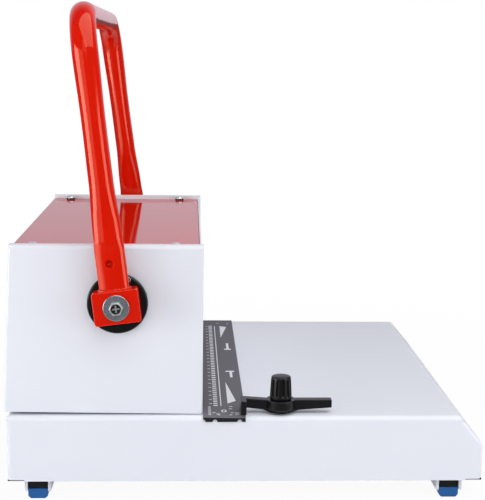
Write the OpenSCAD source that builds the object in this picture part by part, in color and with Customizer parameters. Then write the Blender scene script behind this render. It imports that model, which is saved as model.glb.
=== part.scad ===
// Coil binding machine: lever punch with a paper table, edge guide and chip tray.
// Millimetres. +X is the operator's side, +Y runs along the punching line, +Z is up.

/* [Base] */
// Length of open deck in front of the housing
table_len = 237.5; // [210:0.5:265]
// Length of the base behind the housing front
house_back = 162.5; // [146:0.5:180]
// Distance from the side of the housing to the side of the base
deck_edge = 6; // [3:0.5:12]
// Height of the base shell from its lower edge to the deck
base_h = 55; // [52:1:80]
// Height of the upright part of the front wall
knee_h = 30.5; // [20:0.5:40]
// Run of the sloping front panel
slope_run = 21; // [10:1:40]
// Outer bend radius where the deck turns down into the side walls
deck_bend = 4.5; // [3:0.5:8]
// Sheet thickness of the base and of the housing
sheet = 1.5; // [1:0.1:2]
// Thickness of the bottom plate
bottom_t = 1.2; // [1:0.1:3]

/* [Feet] */
// Height of the base shell above the floor
foot_h = 18.5; // [16:0.5:30]
// Width of the rubber block along the length of the machine
foot_w = 17; // [12:0.5:24]
// Depth of a foot across the machine
foot_d = 24; // [16:1:40]
// Distance from the side of the base to the outer face of a foot
foot_inset = 6; // [3:0.5:14]
// Distance from the rear wall to the middle of a rear foot
foot_rear = 24.4; // [20:0.2:40]
// Distance from the front wall to the middle of a front foot
foot_front = 26.6; // [18:0.2:80]
// Thickness of the bracket plates beside each foot
bracket_t = 2.6; // [1.5:0.1:4]
// Height of the lower edge of the bracket plates
bracket_lift = 6.4; // [3:0.2:9]
// Height of the pad that stands on the floor
pad_h = 8.8; // [6:0.2:11]
// Bevel along the lower edges of the pad
pad_bevel = 2.2; // [0.5:0.1:4]

/* [Housing] */
// Distance from a side frame to the outer face of the end panel
side_room = 14; // [12:0.5:18]
// Free height between the side frames and the top cover
cover_room = 8.5; // [8:0.5:20]
// Distance the housing stands out behind the base
rear_over = 3; // [2.5:0.5:8]
// Distance the top of the rear edge lies in front of its foot
rear_lean = 6.5; // [3:0.5:14]
// Extra gap under the end panels at the rear
rear_lift = 2; // [0.5:0.5:6]
// Gap under the end panels at the front
house_gap = 0.5; // [0.3:0.1:1]
// Height of the lips above the top cover
lip_h = 4; // [3:0.5:8]
// Width of the lips
lip_w = 8; // [6:0.5:10]
// Rounding along the outer top edge of the lips
lip_r = 4; // [2:0.5:5]
// Width of the return flanges beside the front and rear panels
return_w = 16; // [14:0.5:18]
// Height of the paper throat above the scale plate
throat_h = 6.5; // [5:0.5:10]
// Distance of the front cover screws from the housing front
cover_screw_front = 23; // [14:1:40]
// Distance of the rear cover screws from the rear top edge
cover_screw_rear = 18; // [12:1:40]

/* [Shaft and cams] */
// Distance from the housing front back to the shaft axis
pivot_back = 70.5; // [66:0.5:76]
// Diameter of the main shaft
shaft_d = 20; // [16:0.5:21]
// Width of the square shaft ends
shaft_square = 13.6; // [10:0.2:14]
// Diameter of the round cams
cam_d = 40; // [38:1:44]
// Offset of each cam from the shaft axis
cam_e = 7; // [5:0.1:7.4]
// Thickness of each cam
cam_t = 16; // [10:1:24]
// Distance from a side frame to the middle of its cam
cam_inset = 50; // [44:1:80]
// Thickness of the yoke walls around each cam
yoke_wall = 8; // [6:0.5:8]
// Height of the yoke's foot below the cam
yoke_foot = 10; // [9:0.5:14]
// Angle the handle swings through
swing = 85; // [60:1:90]
// Running gap above and below each cam in its yoke
cam_gap = 0.5; // [0.4:0.05:1]
// Diameter of the bearing flange
flange_d = 50; // [46:1:60]
// Thickness of the bearing flange
flange_t = 5; // [3:0.5:8]
// Outer diameter of the bush inside the frame
bush_d = 30; // [27:1:32]
// Radial running gap of the shaft in its bushes
shaft_gap = 0.1; // [0.05:0.05:0.3]

/* [Handle] */
// Diameter of the handle tube
tube_d = 20; // [16:0.5:22]
// Wall thickness of the handle tube
tube_wall = 1.6; // [1.2:0.1:3]
// Distance from the shaft axis to the middle of the grip bar
handle_reach = 236; // [200:1:320]
// Backward lean of the handle at rest
handle_lean = 7; // [0:0.2:10]
// Length of the upright part of each leg above the shaft axis
leg_kink = 52; // [46:1:80]
// Inward lean of the legs above the kink
leg_inward = 5.5; // [0:0.25:5.75]
// Bend radius between leg and grip bar on the tube's middle line
grip_bend = 36; // [26:1:60]
// Length over which the tube widens from round to the kink
flare_len = 46; // [12:1:80]
// Width of the flattened tube end
flat_w = 24.6; // [20:0.2:26]
// Thickness of the flattened tube end
flat_t = 12; // [9:0.5:16]
// Width of the clamp block
block_w = 38; // [32:0.5:44]
// Height of the clamp block
block_h = 27.5; // [24:0.5:34]
// Thickness of the clamp block along the shaft
block_t = 15; // [13:0.5:22]
// Corner radius of the clamp block
block_r = 2.5; // [1.5:0.5:8]
// Gap between the bearing flange and the clamp block
block_gap = 0.6; // [0.4:0.1:2]
// Diameter of the washer on the shaft end
washer_d = 21.5; // [16:0.5:24]
// Width across flats of the bolt head on the shaft end
bolt_af = 10; // [8:1:13]

/* [Punch] */
// Clear width between the side frames
punch_w = 300; // [260:1:340]
// Thickness of the side frames
frame_t = 10; // [8:0.5:10]
// Length of the side frames
frame_len = 90; // [84:1:94]
// Height of the side frames above the shaft axis
frame_rise = 34; // [33:0.5:40]
// Least distance from the end pins to the side frames
pin_edge = 7; // [6:0.5:30]
// Distance between neighbouring pins
pin_pitch = 6.35; // [6.35:0.01:6.4]
// Diameter of a punch pin
pin_d = 4; // [3:0.1:4.2]
// Radial gap of the pins in the die and in the guide
pin_gap = 0.25; // [0.22:0.01:0.4]
// Height of the paper gap above the die
die_gap = 3; // [2:0.1:3.4]
// Length of the die from front to rear
die_len = 50; // [48:1:56]
// Thickness of the die
die_t = 14; // [14:0.5:16]
// Thickness of the pin guide
guide_t = 16; // [14:0.5:17]
// Distance from the middle of the holes to the back stop
stop_back = 6; // [4:0.25:9]
// Height of the press beam
beam_h = 22; // [18:0.5:23]
// Width of the press beam
beam_w = 46; // [44:0.5:48]
// Thickness of the pin retainer
retainer_h = 12; // [10:0.5:13]
// Free height under the pin retainer with the press up
press_room = 15.529; // [14:0.001:20]
// Distance from a side frame to the guide rods beside it
rod_edge = 25; // [22:0.5:30]
// Diameter of the guide rods
rod_d = 10; // [8:0.5:10]
// Wire diameter of the return springs
wire_d = 1.6; // [1:0.1:2]
// Number of turns of a return spring
spring_turns = 5; // [3:1:6]

/* [Paper table] */
// Thickness of the scale plate
plate_t = 1.2; // [0.8:0.1:2]
// Width of the open part of the scale plate
plate_len = 35.6; // [25:0.1:60]
// Depth of the scale plate's ends down the side walls
plate_wrap = 4.2; // [3.6:0.2:12]
// Distance from the housing front to the clamp knob
knob_front = 66; // [64:0.5:110]
// Distance from the side of the base to the clamp knob
knob_side = 13; // [12:0.5:16]
// Sliding travel of the edge guide
guide_travel = 40; // [20:1:60]
// Length of the edge guide behind the knob
guide_rear = 34; // [26:0.5:36]
// Length of the edge guide in front of the knob
guide_ahead = 43; // [26:0.5:60]
// Height of the edge guide bar
bar_h = 6.8; // [5:0.2:10]
// Height of the edge guide bar above the deck
bar_lift = 5; // [4:0.2:8]
// Depth of the edge guide bar across the machine
bar_d = 8; // [7:0.5:12]
// Rise of the edge guide's rear arm towards its leg
bar_rise = 1.6; // [0.2:0.2:2]
// Diameter of the foot of the boss under the knob
boss_d = 14.8; // [12:0.2:18]
// Diameter of the boss at the height of the bar
boss_top_d = 25; // [20:0.5:26]
// Diameter of the clamp knob
knob_d = 17; // [14:0.5:22]
// Height of the clamp knob
knob_h = 20; // [17:0.5:30]

/* [Chip tray] */
// Distance from a side frame to the side of the chip tray
tray_side = 5; // [4:0.5:40]
// Free height between the chip tray and the die
tray_head = 5.9; // [4:0.1:16]
// Wall thickness of the chip tray
tray_wall = 2; // [1.5:0.1:3]
// Thickness of the runners under the tray
runner_t = 2; // [1.6:0.1:3]
// Radius of the finger notch in the tray's face
notch_r = 16; // [10:1:20]

/* [Fasteners] */
// Thread diameter of the bolts of the side frames
bolt_d = 6; // [5:0.5:6]
// Depth of the bolts in the pieces they hold
bolt_depth = 16; // [12:1:20]
// Thread diameter of the sheet screws
screw_d = 4; // [3:0.5:4]
// Diameter of the tie bars between the side frames
tie_d = 12; // [10:0.5:14]
// Diameter of the standoffs beside the side frames
standoff_d = 10; // [8:0.5:12]
// Distance of the bottom screws from the ends of the base
bottom_screw_in = 7; // [5:0.5:9]
// Distance of the outer bottom screws from the sides of the base
bottom_screw_side = 50; // [40:1:70]
// Distance of the bolts under each side frame from its ends
frame_foot_in = 15; // [12:0.5:30]
// Distance of the retainer screws from the side frames
retainer_screw_in = 80; // [70:1:100]

/* [Hidden] */
$fn = 48;
base_len = house_back + table_len;
house_w = punch_w + 2 * (frame_t + side_room);
base_w = house_w + 2 * deck_edge;
x_min = -(base_len + rear_over) / 2;
base_x0 = x_min + rear_over;
base_x1 = base_x0 + base_len;
z_base = foot_h;
z_deck = foot_h + base_h;
z_knee = foot_h + knee_h;
slope_x = base_x1 - slope_run;
slope_a = atan2(z_deck - z_knee, slope_run);
// Die, guide and press, stacked up from the deck to the shaft and the top of the housing
cam_a = swing / 2;
cam_lift = cam_e * sin(cam_a);
stroke = 2 * cam_lift;
z_die = z_deck + plate_t;
z_guide = z_die + die_gap;
z_guide1 = z_guide + guide_t;
z_retainer = z_guide1 + press_room;
z_beam = z_retainer + retainer_h;
z_beam1 = z_beam + beam_h;
window_z0 = z_beam1 + yoke_foot;
window_z1 = window_z0 + cam_d + 2 * cam_gap;
pivot_z = window_z0 + cam_gap + cam_d / 2 - cam_lift;
frame_z1 = pivot_z + frame_rise;
z_cover = frame_z1 + cover_room;
z_top = z_cover + sheet + lip_h;
house_h = z_top - z_deck;
// Housing outline
house_x1 = base_x1 - table_len;
z_front = z_deck + house_gap;
z_rear = z_front + rear_lift;
panel_y = house_w / 2;
lean_a = atan2(rear_lean, z_top - z_rear);
z_throat = z_deck + plate_t + throat_h;
return_y = panel_y - return_w;
cover_y = panel_y - lip_w - 0.3;
cover_screw_y = panel_y - 14;
cover_x1 = house_x1 - 2 * sheet - 0.3;
// Shaft, cams and frames
pivot_x = house_x1 - pivot_back;
cam_spread = punch_w - 2 * cam_inset;
frame_y = punch_w / 2 + frame_t;
frame_x0 = pivot_x - frame_len / 2;
frame_x1 = pivot_x + frame_len / 2;
tie_x = frame_len / 2 - 0.75 * tie_d;
tie_up = frame_rise - 13;
tie_low = 50;
standoff_low = 69;
tie_rear = [pivot_x - tie_x, pivot_z + tie_up];
tie_front = [pivot_x + tie_x, pivot_z - tie_low];
standoff_at = [
  [pivot_x - tie_x, pivot_z - standoff_low],
  [pivot_x + tie_x, pivot_z - standoff_low],
  [pivot_x + tie_x, pivot_z + tie_up]
];
frame_foot_x = [pivot_x - frame_len / 2 + frame_foot_in, pivot_x + frame_len / 2 - frame_foot_in];
frame_foot_y = punch_w / 2 + frame_t / 2;
bottom_screw_x = [base_x0 + bottom_screw_in, base_x1 - bottom_screw_in];
bottom_screw_y = [bottom_screw_side - base_w / 2, 0, base_w / 2 - bottom_screw_side];
retainer_screw_y = [retainer_screw_in - punch_w / 2, 0, punch_w / 2 - retainer_screw_in];
// Fasteners
bolt_r = bolt_d / 2;
bolt_head_r = bolt_d * 5 / 6;
screw_r = screw_d / 2;
die_bolt_x = 0.36 * die_len;
flange_y = panel_y + flange_t;
flange_screw_r = flange_d / 2 - 3.2;
// Die, guide and press
die_x0 = pivot_x - die_len / 2;
die_x1 = pivot_x + die_len / 2;
pin_count = floor((punch_w - 2 * pin_edge) / pin_pitch) + 1;
pin_y0 = -(pin_count - 1) * pin_pitch / 2;
hole_r = pin_d / 2 + pin_gap;
die_bolt_z = z_deck - sheet - bolt_head_r - 1;
window_x = pivot_x + cam_e * (1 + cos(cam_a)) / 2;
window_w = cam_d + cam_e * (1 - cos(cam_a)) + 2 * cam_gap + 0.4;
pin_tip = z_guide + 2;
rod_x = 16;
rod_y = punch_w / 2 - rod_edge;
rod_gap = 0.3;
bush_wall = 2;
spring_gap = 0.3;
spring_r = rod_d / 2 + 1.2 + wire_d / 2;
spring_z0 = z_guide1 + spring_gap;
spring_z1 = z_beam - spring_gap;
frame_bolt_at = [
  [pivot_x - die_bolt_x, die_bolt_z],
  [pivot_x + die_bolt_x, die_bolt_z],
  [pivot_x - die_bolt_x, z_guide + guide_t / 2],
  [pivot_x + die_bolt_x, z_guide + guide_t / 2],
  tie_rear,
  tie_front
];
// Handle
leg_y = flange_y + block_gap + block_t / 2;
block_y0 = flange_y + block_gap;
block_y1 = block_y0 + block_t;
square_len = block_t - 5;
bend_z = handle_reach - grip_bend;
bend_start_z = bend_z + grip_bend * sin(leg_inward);
bend_start_y = leg_y - (bend_start_z - leg_kink) * tan(leg_inward);
bend_y = bend_start_y - grip_bend * cos(leg_inward);
bend_steps = 9;
// Feet and table
z_bracket = z_base - bottom_t;
foot_y = base_w / 2 - foot_inset - foot_d / 2;
foot_x = [base_x0 + foot_rear, base_x1 - foot_front];
plate_x0 = house_x1 + 0.4;
plate_x1 = plate_x0 + plate_len;
knob_x = house_x1 + knob_front;
knob_y = -base_w / 2 + knob_side;
z_bar = z_deck + bar_lift;
z_bar1 = z_bar + bar_h;
z_knob = z_bar1 + 0.3;
guide_bolt_d = 6;
// Tray
tray_w = punch_w - 2 * tray_side;
tray_x0 = base_x0 - 0.3;
tray_x1 = pivot_x + frame_len / 2 - 1;
tray_z0 = z_base + runner_t + 0.3;
tray_z1 = z_die - die_t - tray_head;

// Least gap between the turns of a return spring, at rest and with the press down
spring_pitch = (spring_z1 - spring_z0 - wire_d) / spring_turns;
spring_low = (spring_z1 - spring_z0 - wire_d - stroke) / spring_turns;
echo(spring_gap_at_rest = spring_pitch - wire_d, spring_gap_down = spring_low - wire_d);
echo(stroke = stroke, press_mm_per_rad = stroke / (swing * PI / 180), overall_height = pivot_z
  + handle_reach * cos(handle_lean) + tube_d / 2);

// Colours
white = [0.93, 0.94, 0.96];
red = [0.82, 0.07, 0.05];
black = [0.08, 0.08, 0.09];
steel = [0.66, 0.67, 0.70];
zinc = [0.74, 0.76, 0.80];
slate = [0.30, 0.30, 0.32];
blue = [0.10, 0.32, 0.66];
brass = [0.78, 0.60, 0.28];

// Extrudes a drawing of X and Z along Y
module along_y(y0, y1) {
  translate([0, y1, 0])
    rotate([90, 0, 0])
      linear_extrude(y1 - y0)
        children();
}

// Extrudes a drawing of Y and Z along X
module along_x(x0, x1) {
  translate([x0, 0, 0])
    rotate([90, 0, 90])
      linear_extrude(x1 - x0)
        children();
}

// A box from one corner to the opposite one
module box(a, b) {
  translate(a)
    cube(b - a);
}

// A round bar along Y
module bar_y(x, z, r, y0, y1) {
  translate([x, y1, z])
    rotate([90, 0, 0])
      cylinder(r = r, h = y1 - y0);
}

// A round bar along Z
module bar_z(x, y, r, z0, z1) {
  translate([x, y, z0])
    cylinder(r = r, h = z1 - z0);
}

// A drawing of a rectangle with its two upper corners rounded
module round_top(w, h, r) {
  translate([-w / 2, 0])
    square([w, h - r]);
  translate([r - w / 2, 0])
    square([w - 2 * r, h]);
  for (s = [-1, 1])
    translate([s * (w / 2 - r), h - r])
      circle(r);
}

// A drawing of a rectangle with all corners rounded
module round_rect(w, h, r) {
  square([w - 2 * r, h], center = true);
  square([w, h - 2 * r], center = true);
  for (s = [-1, 1], t = [-1, 1])
    translate([s * (w / 2 - r), t * (h / 2 - r)])
      circle(r);
}

// Both sides of the machine
module both_sides() {
  children();
  mirror([0, 1, 0])
    children();
}

// Base shell
module base_profile(t) {
  low = t > 0 ? z_base - 1 : z_base;
  polygon([
    [base_x0 + t, low],
    [base_x0 + t, z_deck - t],
    [slope_x - t * tan(slope_a / 2), z_deck - t],
    [base_x1 - t, z_knee - t * tan((90 - slope_a) / 2)],
    [base_x1 - t, low]
  ]);
}

module base_skin(t) {
  intersection() {
    along_y(-base_w / 2 + t, base_w / 2 - t)
      base_profile(t);
    along_x(base_x0 - 1, base_x1 + 1)
      translate([0, z_base - 2])
        round_top(base_w - 2 * t, base_h + 2 - t, deck_bend - t);
  }
}

module base_shell() {
  color(white)
    difference() {
      union() {
        difference() {
          base_skin(0);
          base_skin(sheet);
        }
        both_sides()
          box([base_x0 + 14, -base_w / 2, z_bracket], [base_x1 - 14, -base_w / 2 + sheet, z_base]);
        box([base_x0, -base_w / 2 + sheet, z_base], [base_x0 + 12, base_w / 2 - sheet, z_base + sheet]);
        box([base_x1 - 12, -base_w / 2 + sheet, z_base], [base_x1, base_w / 2 - sheet, z_base + sheet]);
      }
      box([die_x0 - 0.5, -punch_w / 2 - 0.5, z_deck - sheet - 1], [die_x1 + 0.5, punch_w / 2 + 0.5, z_deck + 1]);
      both_sides()
        box([frame_x0 - 0.5, -frame_y - 0.5, z_deck - sheet - 1], [frame_x1 + 0.5, -punch_w / 2 + 0.5, z_deck + 1]);
      box([base_x0 - 1, -tray_w / 2 - 0.8, tray_z0 - 0.5], [base_x0 + sheet + 0.5, tray_w / 2 + 0.8, tray_z1 + 0.8]);
      guide_slot();
      bottom_screw_holes(screw_r + 0.1);
    }
}

module guide_slot() {
  r = guide_bolt_d / 2 + 0.5;
  box([knob_x - r, knob_y, z_deck - sheet - 1], [knob_x + r, knob_y + guide_travel, z_deck + 1]);
  bar_z(knob_x, knob_y, r, z_deck - sheet - 1, z_deck + 1);
  bar_z(knob_x, knob_y + guide_travel, r, z_deck - sheet - 1, z_deck + 1);
}

module bottom_screw_holes(r) {
  for (x = bottom_screw_x, y = bottom_screw_y)
    bar_z(x, y, r, z_bracket - 1, z_base + sheet + 1);
}

// Bottom plate and its screws
module bottom_plate() {
  y = base_w / 2 - sheet - 0.2;
  color(slate)
    difference() {
      box([base_x0, -y, z_bracket], [base_x1, y, z_base]);
      bottom_screw_holes(screw_r + 0.2);
      for (x = foot_x, s = [-1, 1])
        bar_z(x, s * foot_y, 2.7, z_bracket - 1, z_base + 1);
      for (x = frame_foot_x, s = [-1, 1])
        bar_z(x, s * frame_foot_y, bolt_r + 0.3, z_bracket - 1, z_base + 1);
    }
}

module bottom_screws() {
  color(zinc)
    for (x = bottom_screw_x, y = bottom_screw_y)
      difference() {
        union() {
          bar_z(x, y, 1.8 * screw_r, z_bracket - 1.1 * screw_r, z_bracket);
          bar_z(x, y, screw_r, z_bracket, z_base + sheet);
        }
        box([x - 2.4, y - 0.5, z_bracket - 3], [x + 2.4, y + 0.5, z_bracket - 1.2]);
        box([x - 0.5, y - 2.4, z_bracket - 3], [x + 0.5, y + 2.4, z_bracket - 1.2]);
      }
}

// Feet
module each_foot() {
  for (x = foot_x, s = [-1, 1])
    translate([x, s * foot_y, 0])
      children();
}

module foot_brackets() {
  w = foot_w / 2;
  color(white)
    each_foot()
      difference() {
        union() {
          box([-w - bracket_t, -foot_d / 2, z_bracket - 2], [w + bracket_t, foot_d / 2, z_bracket]);
          box([-w - bracket_t, -foot_d / 2, bracket_lift], [-w, foot_d / 2, z_bracket - 2]);
          box([w, -foot_d / 2, bracket_lift], [w + bracket_t, foot_d / 2, z_bracket - 2]);
        }
        bar_z(0, 0, 2.7, z_bracket - 3, z_bracket + 1);
      }
}

module foot_blocks() {
  w = foot_w / 2 - 0.2;
  color(black)
    each_foot()
      difference() {
        box([-w, -foot_d / 2 + 1.5, pad_h], [w, foot_d / 2 - 1.5, z_bracket - 2]);
        bar_z(0, 0, 2.6, pad_h - 1, z_bracket);
      }
}

module foot_pads() {
  w = foot_w / 2 - 0.2;
  c = pad_bevel;
  color(blue)
    each_foot()
      difference() {
        along_y(-foot_d / 2 + 0.5, foot_d / 2 - 0.5)
          polygon([[c - w, 0], [w - c, 0], [w, c], [w, pad_h], [-w, pad_h], [-w, c]]);
        bar_z(0, 0, 2.6, pad_h - 4, pad_h + 1);
      }
}

module foot_screws() {
  color(zinc)
    each_foot() {
      bar_z(0, 0, 4.5, z_base, z_base + 3);
      bar_z(0, 0, 2.5, pad_h - 3.5, z_base);
    }
}

// Scale plate, wrapped over both edges of the deck
module scale_plate() {
  color(slate)
    difference() {
      union() {
        intersection() {
          along_x(plate_x0, plate_x1)
            translate([0, z_base])
              round_top(base_w + 2 * plate_t, base_h + plate_t, deck_bend + plate_t);
          box([plate_x0, -base_w, z_deck - plate_wrap], [plate_x1, base_w, z_deck + 10]);
        }
        box([die_x1 + 0.3, 1 - punch_w / 2, z_deck], [plate_x0, punch_w / 2 - 1, z_die]);
      }
      along_x(plate_x0 - 1, plate_x1 + 1)
        translate([0, z_base])
          round_top(base_w, base_h, deck_bend);
      for (x = [plate_x0, plate_x0 + 10, plate_x1 - 5])
        bar_y(x, z_deck - plate_wrap, 2, -base_w, base_w);
    }
}

// Die plate, pin guide and back stop
module pin_holes(z0, z1) {
  for (i = [0:pin_count - 1])
    bar_z(pivot_x, pin_y0 + i * pin_pitch, hole_r, z0, z1);
}

module end_holes(z) {
  for (x = [pivot_x - die_bolt_x, pivot_x + die_bolt_x])
    both_sides()
      bar_y(x, z, bolt_r + 0.1, -punch_w / 2 - 1, bolt_depth - punch_w / 2);
}

module die_plate() {
  color(steel)
    difference() {
      box([die_x0, -punch_w / 2, z_die - die_t], [die_x1, punch_w / 2, z_die]);
      pin_holes(z_die - die_t - 1, z_die + 1);
      end_holes(die_bolt_z);
    }
}

module pin_guide() {
  color(steel)
    difference() {
      along_y(-punch_w / 2, punch_w / 2)
        polygon([
          [die_x0, z_guide],
          [die_x1 - 7, z_guide],
          [die_x1, z_guide + 4],
          [die_x1, z_guide1],
          [die_x0, z_guide1]
        ]);
      pin_holes(z_guide - 1, z_guide1 + 1);
      end_holes(z_guide + guide_t / 2);
      for (s = [-1, 1], t = [-1, 1])
        bar_z(pivot_x + s * rod_x, t * rod_y, rod_d / 2 + 0.05, z_guide1 - 10, z_guide1 + 1);
    }
}

module back_stop() {
  color(steel)
    box([die_x0, -punch_w / 2, z_die], [pivot_x - stop_back, punch_w / 2, z_guide]);
}

// Side frames
module side_frame() {
  c = 14;
  difference() {
    along_y(-frame_y, -punch_w / 2)
      polygon([
        [frame_x0, z_base],
        [frame_x1, z_base],
        [frame_x1, frame_z1 - c],
        [frame_x1 - c, frame_z1],
        [frame_x0 + c, frame_z1],
        [frame_x0, frame_z1 - c]
      ]);
    bar_y(pivot_x, pivot_z, bush_d / 2 + 0.1, -frame_y - 1, 1 - punch_w / 2);
    for (p = frame_bolt_at)
      bar_y(p[0], p[1], bolt_r + 0.25, -frame_y - 1, 1 - punch_w / 2);
    for (p = standoff_at)
      bar_y(p[0], p[1], screw_r + 0.25, -frame_y - 1, 1 - punch_w / 2);
    for (x = frame_foot_x)
      bar_z(x, -frame_foot_y, bolt_r + 0.1, z_base - 1, z_base + bolt_depth + 2);
  }
}

module side_frame_left() {
  color(steel)
    side_frame();
}

module side_frame_right() {
  color(steel)
    mirror([0, 1, 0])
      side_frame();
}

// Socket-head bolts through the frames
module frame_bolts() {
  color(slate)
    both_sides()
      for (p = frame_bolt_at)
        difference() {
          union() {
            bar_y(p[0], p[1], bolt_r, -frame_y, bolt_depth - 2 - punch_w / 2);
            bar_y(p[0], p[1], bolt_head_r, -frame_y - bolt_d, -frame_y);
          }
          translate([p[0], -frame_y - bolt_d / 2, p[1]])
            rotate([90, 0, 0])
              cylinder(d = 0.96 * bolt_d, h = bolt_d, $fn = 6);
        }
}

module frame_feet_bolts() {
  color(zinc)
    for (x = frame_foot_x, s = [-1, 1])
      translate([x, s * frame_foot_y, z_bracket - bolt_d * 2 / 3]) {
        cylinder(d = 1.9 * bolt_d, h = bolt_d * 2 / 3, $fn = 6);
        cylinder(r = bolt_r, h = bolt_d * 2 / 3 + bottom_t + bolt_depth);
      }
}

module tie_bars() {
  color(steel)
    for (p = [tie_rear, tie_front])
      difference() {
        bar_y(p[0], p[1], tie_d / 2, -punch_w / 2, punch_w / 2);
        both_sides()
          bar_y(p[0], p[1], bolt_r + 0.1, -punch_w / 2 - 1, bolt_depth - punch_w / 2);
      }
}

module standoffs() {
  color(zinc)
    both_sides()
      for (p = standoff_at)
        difference() {
          bar_y(p[0], p[1], standoff_d / 2, sheet - panel_y, -frame_y);
          bar_y(p[0], p[1], screw_r + 0.1, -frame_y - side_room / 2, 1 - frame_y);
        }
}

module standoff_screws() {
  color(zinc)
    both_sides()
      for (p = standoff_at) {
        bar_y(p[0], p[1], screw_r, 1 - frame_y - side_room / 2, -punch_w / 2);
        bar_y(p[0], p[1], screw_d, -punch_w / 2, 0.75 * screw_d - punch_w / 2);
      }
}

// Housing: end panels with lips, front and rear panels, top cover
function rear_x(z) = x_min + rear_lean * (z - z_rear) / (z_top - z_rear);

module panel_outline() {
  polygon([
    [house_x1, z_front],
    [house_x1, z_top],
    [rear_x(z_top), z_top],
    [x_min, z_rear]
  ]);
}

// A strip parallel to the leaning rear edge
module rear_strip(d0, d1, z0, z1) {
  polygon([
    [rear_x(z0) + d0, z0],
    [rear_x(z0) + d1, z0],
    [rear_x(z1) + d1, z1],
    [rear_x(z1) + d0, z1]
  ]);
}

module panel_section() {
  translate([0, z_deck])
    round_top(house_w, house_h, lip_r);
}

module end_panel() {
  difference() {
    intersection() {
      union() {
        along_y(-panel_y, sheet - panel_y)
          panel_outline();
        along_y(-panel_y, lip_w - panel_y)
          intersection() {
            panel_outline();
            translate([x_min, z_cover])
              square([base_len, lip_h + sheet]);
          }
        box([house_x1 - sheet, -panel_y, z_front], [house_x1, -return_y, z_cover]);
        along_y(-panel_y, -return_y)
          rear_strip(0, sheet, z_rear, z_cover);
        along_y(-panel_y, 8 - panel_y)
          polygon([[house_x1, z_front], [house_x1, z_front + sheet], [x_min, z_rear + sheet], [x_min, z_rear]]);
        box(
          [rear_x(z_top) + 8, sheet - panel_y, z_cover - sheet],
          [house_x1 - 6, sheet - panel_y + 20, z_cover]
        );
      }
      along_x(x_min - 1, house_x1 + 1)
        panel_section();
      along_y(-panel_y - 1, 0)
        panel_outline();
    }
    bar_y(pivot_x, pivot_z, bush_d / 2 + 0.4, -panel_y - 1, 2 - panel_y);
    cover_screw_holes(2.3);
    shell_screw_holes(0.1);
    flange_screw_holes(1.5);
  }
}

module end_panel_left() {
  color(white)
    end_panel();
}

module end_panel_right() {
  color(white)
    mirror([0, 1, 0])
      end_panel();
}

module front_panel() {
  color(white)
    difference() {
      union() {
        box([house_x1 - 2 * sheet, -cover_y, z_throat], [house_x1 - sheet, cover_y, z_top - lip_h]);
        box([house_x1 - 13, 1 - return_y, z_throat], [house_x1 - 2 * sheet, return_y - 1, z_throat + sheet]);
      }
      shell_screw_holes(0.1);
      mirror([0, 1, 0])
        shell_screw_holes(0.1);
    }
}

module rear_panel() {
  color(white)
    difference() {
      along_y(-cover_y, cover_y)
        rear_strip(sheet, 2 * sheet, z_rear + 3, z_cover);
      shell_screw_holes(0.1);
      mirror([0, 1, 0])
        shell_screw_holes(0.1);
    }
}

module top_cover() {
  r = 4;
  x0 = rear_x(z_cover);
  color(red)
    difference() {
      union() {
        translate([0, 0, z_cover])
          linear_extrude(sheet)
            union() {
              translate([x0, -cover_y])
                square([cover_x1 - r - x0, 2 * cover_y]);
              translate([x0, r - cover_y])
                square([cover_x1 - x0, 2 * cover_y - 2 * r]);
              for (s = [-1, 1])
                translate([cover_x1 - r, s * (cover_y - r)])
                  circle(r);
            }
        along_y(0.3 - return_y, return_y - 0.3)
          rear_strip(0, sheet, z_cover - 14, z_cover);
      }
      cover_screw_holes(2.6);
      mirror([0, 1, 0])
        cover_screw_holes(2.6);
    }
}

cover_screw_x = [rear_x(z_top) + cover_screw_rear, house_x1 - cover_screw_front];

module cover_screw_holes(r) {
  for (x = cover_screw_x)
    bar_z(x, -cover_screw_y, r, z_cover - sheet - 1, z_top);
}

module cover_screws() {
  color(zinc)
    both_sides()
      for (x = cover_screw_x) {
        translate([x, -cover_screw_y, z_cover + sheet])
          rotate_extrude()
            polygon([[0, 0], [4.5, 0], [4.5, 1.5], [3.4, 3], [0, 3.4]]);
        bar_z(x, -cover_screw_y, 2.2, z_cover - 4, z_cover + sheet);
      }
}

// Screws of the front and rear panels; the rear ones follow the leaning edge
shell_screw_y = panel_y - 12;

module each_shell_screw() {
  for (z = [z_throat + 24, z_top - 34])
    translate([house_x1, -shell_screw_y, z])
      children();
  for (z = [z_rear + 52, z_top - 34])
    translate([rear_x(z), -shell_screw_y, z])
      rotate([0, lean_a + 180, 0])
        children();
}

module shell_screw_holes(gap) {
  each_shell_screw()
    rotate([0, -90, 0]) {
      translate([0, 0, -1])
        cylinder(r = screw_r + gap, h = 1 + 2 * screw_d + gap);
      translate([0, 0, -0.01])
        cylinder(r1 = 1.8 * screw_r + gap, r2 = screw_r + gap, h = 0.8 * screw_r);
    }
}

module shell_screws() {
  color(zinc)
    both_sides()
      each_shell_screw()
        rotate([0, -90, 0])
          difference() {
            union() {
              cylinder(r = screw_r, h = 2 * screw_d);
              cylinder(r1 = 1.8 * screw_r, r2 = screw_r, h = 0.8 * screw_r);
            }
            for (a = [0, 90])
              rotate([0, 0, a])
                box([-screw_r, -0.25 * screw_r, -1], [screw_r, 0.25 * screw_r, 0.55 * screw_r]);
          }
}

// Bearing bushes with outer flanges
module bush() {
  difference() {
    translate([pivot_x, 0, pivot_z])
      rotate([90, 0, 0])
        rotate_extrude($fn = 96)
          polygon([
            [shaft_d / 2 + shaft_gap, punch_w / 2],
            [bush_d / 2, punch_w / 2],
            [bush_d / 2, panel_y],
            [flange_d / 2, panel_y],
            [flange_d / 2, flange_y - 1],
            [flange_d / 2 - 1, flange_y],
            [shaft_d / 2 + shaft_gap, flange_y]
          ]);
    flange_screw_holes(1.5);
    flange_screw_pockets();
  }
}

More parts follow.
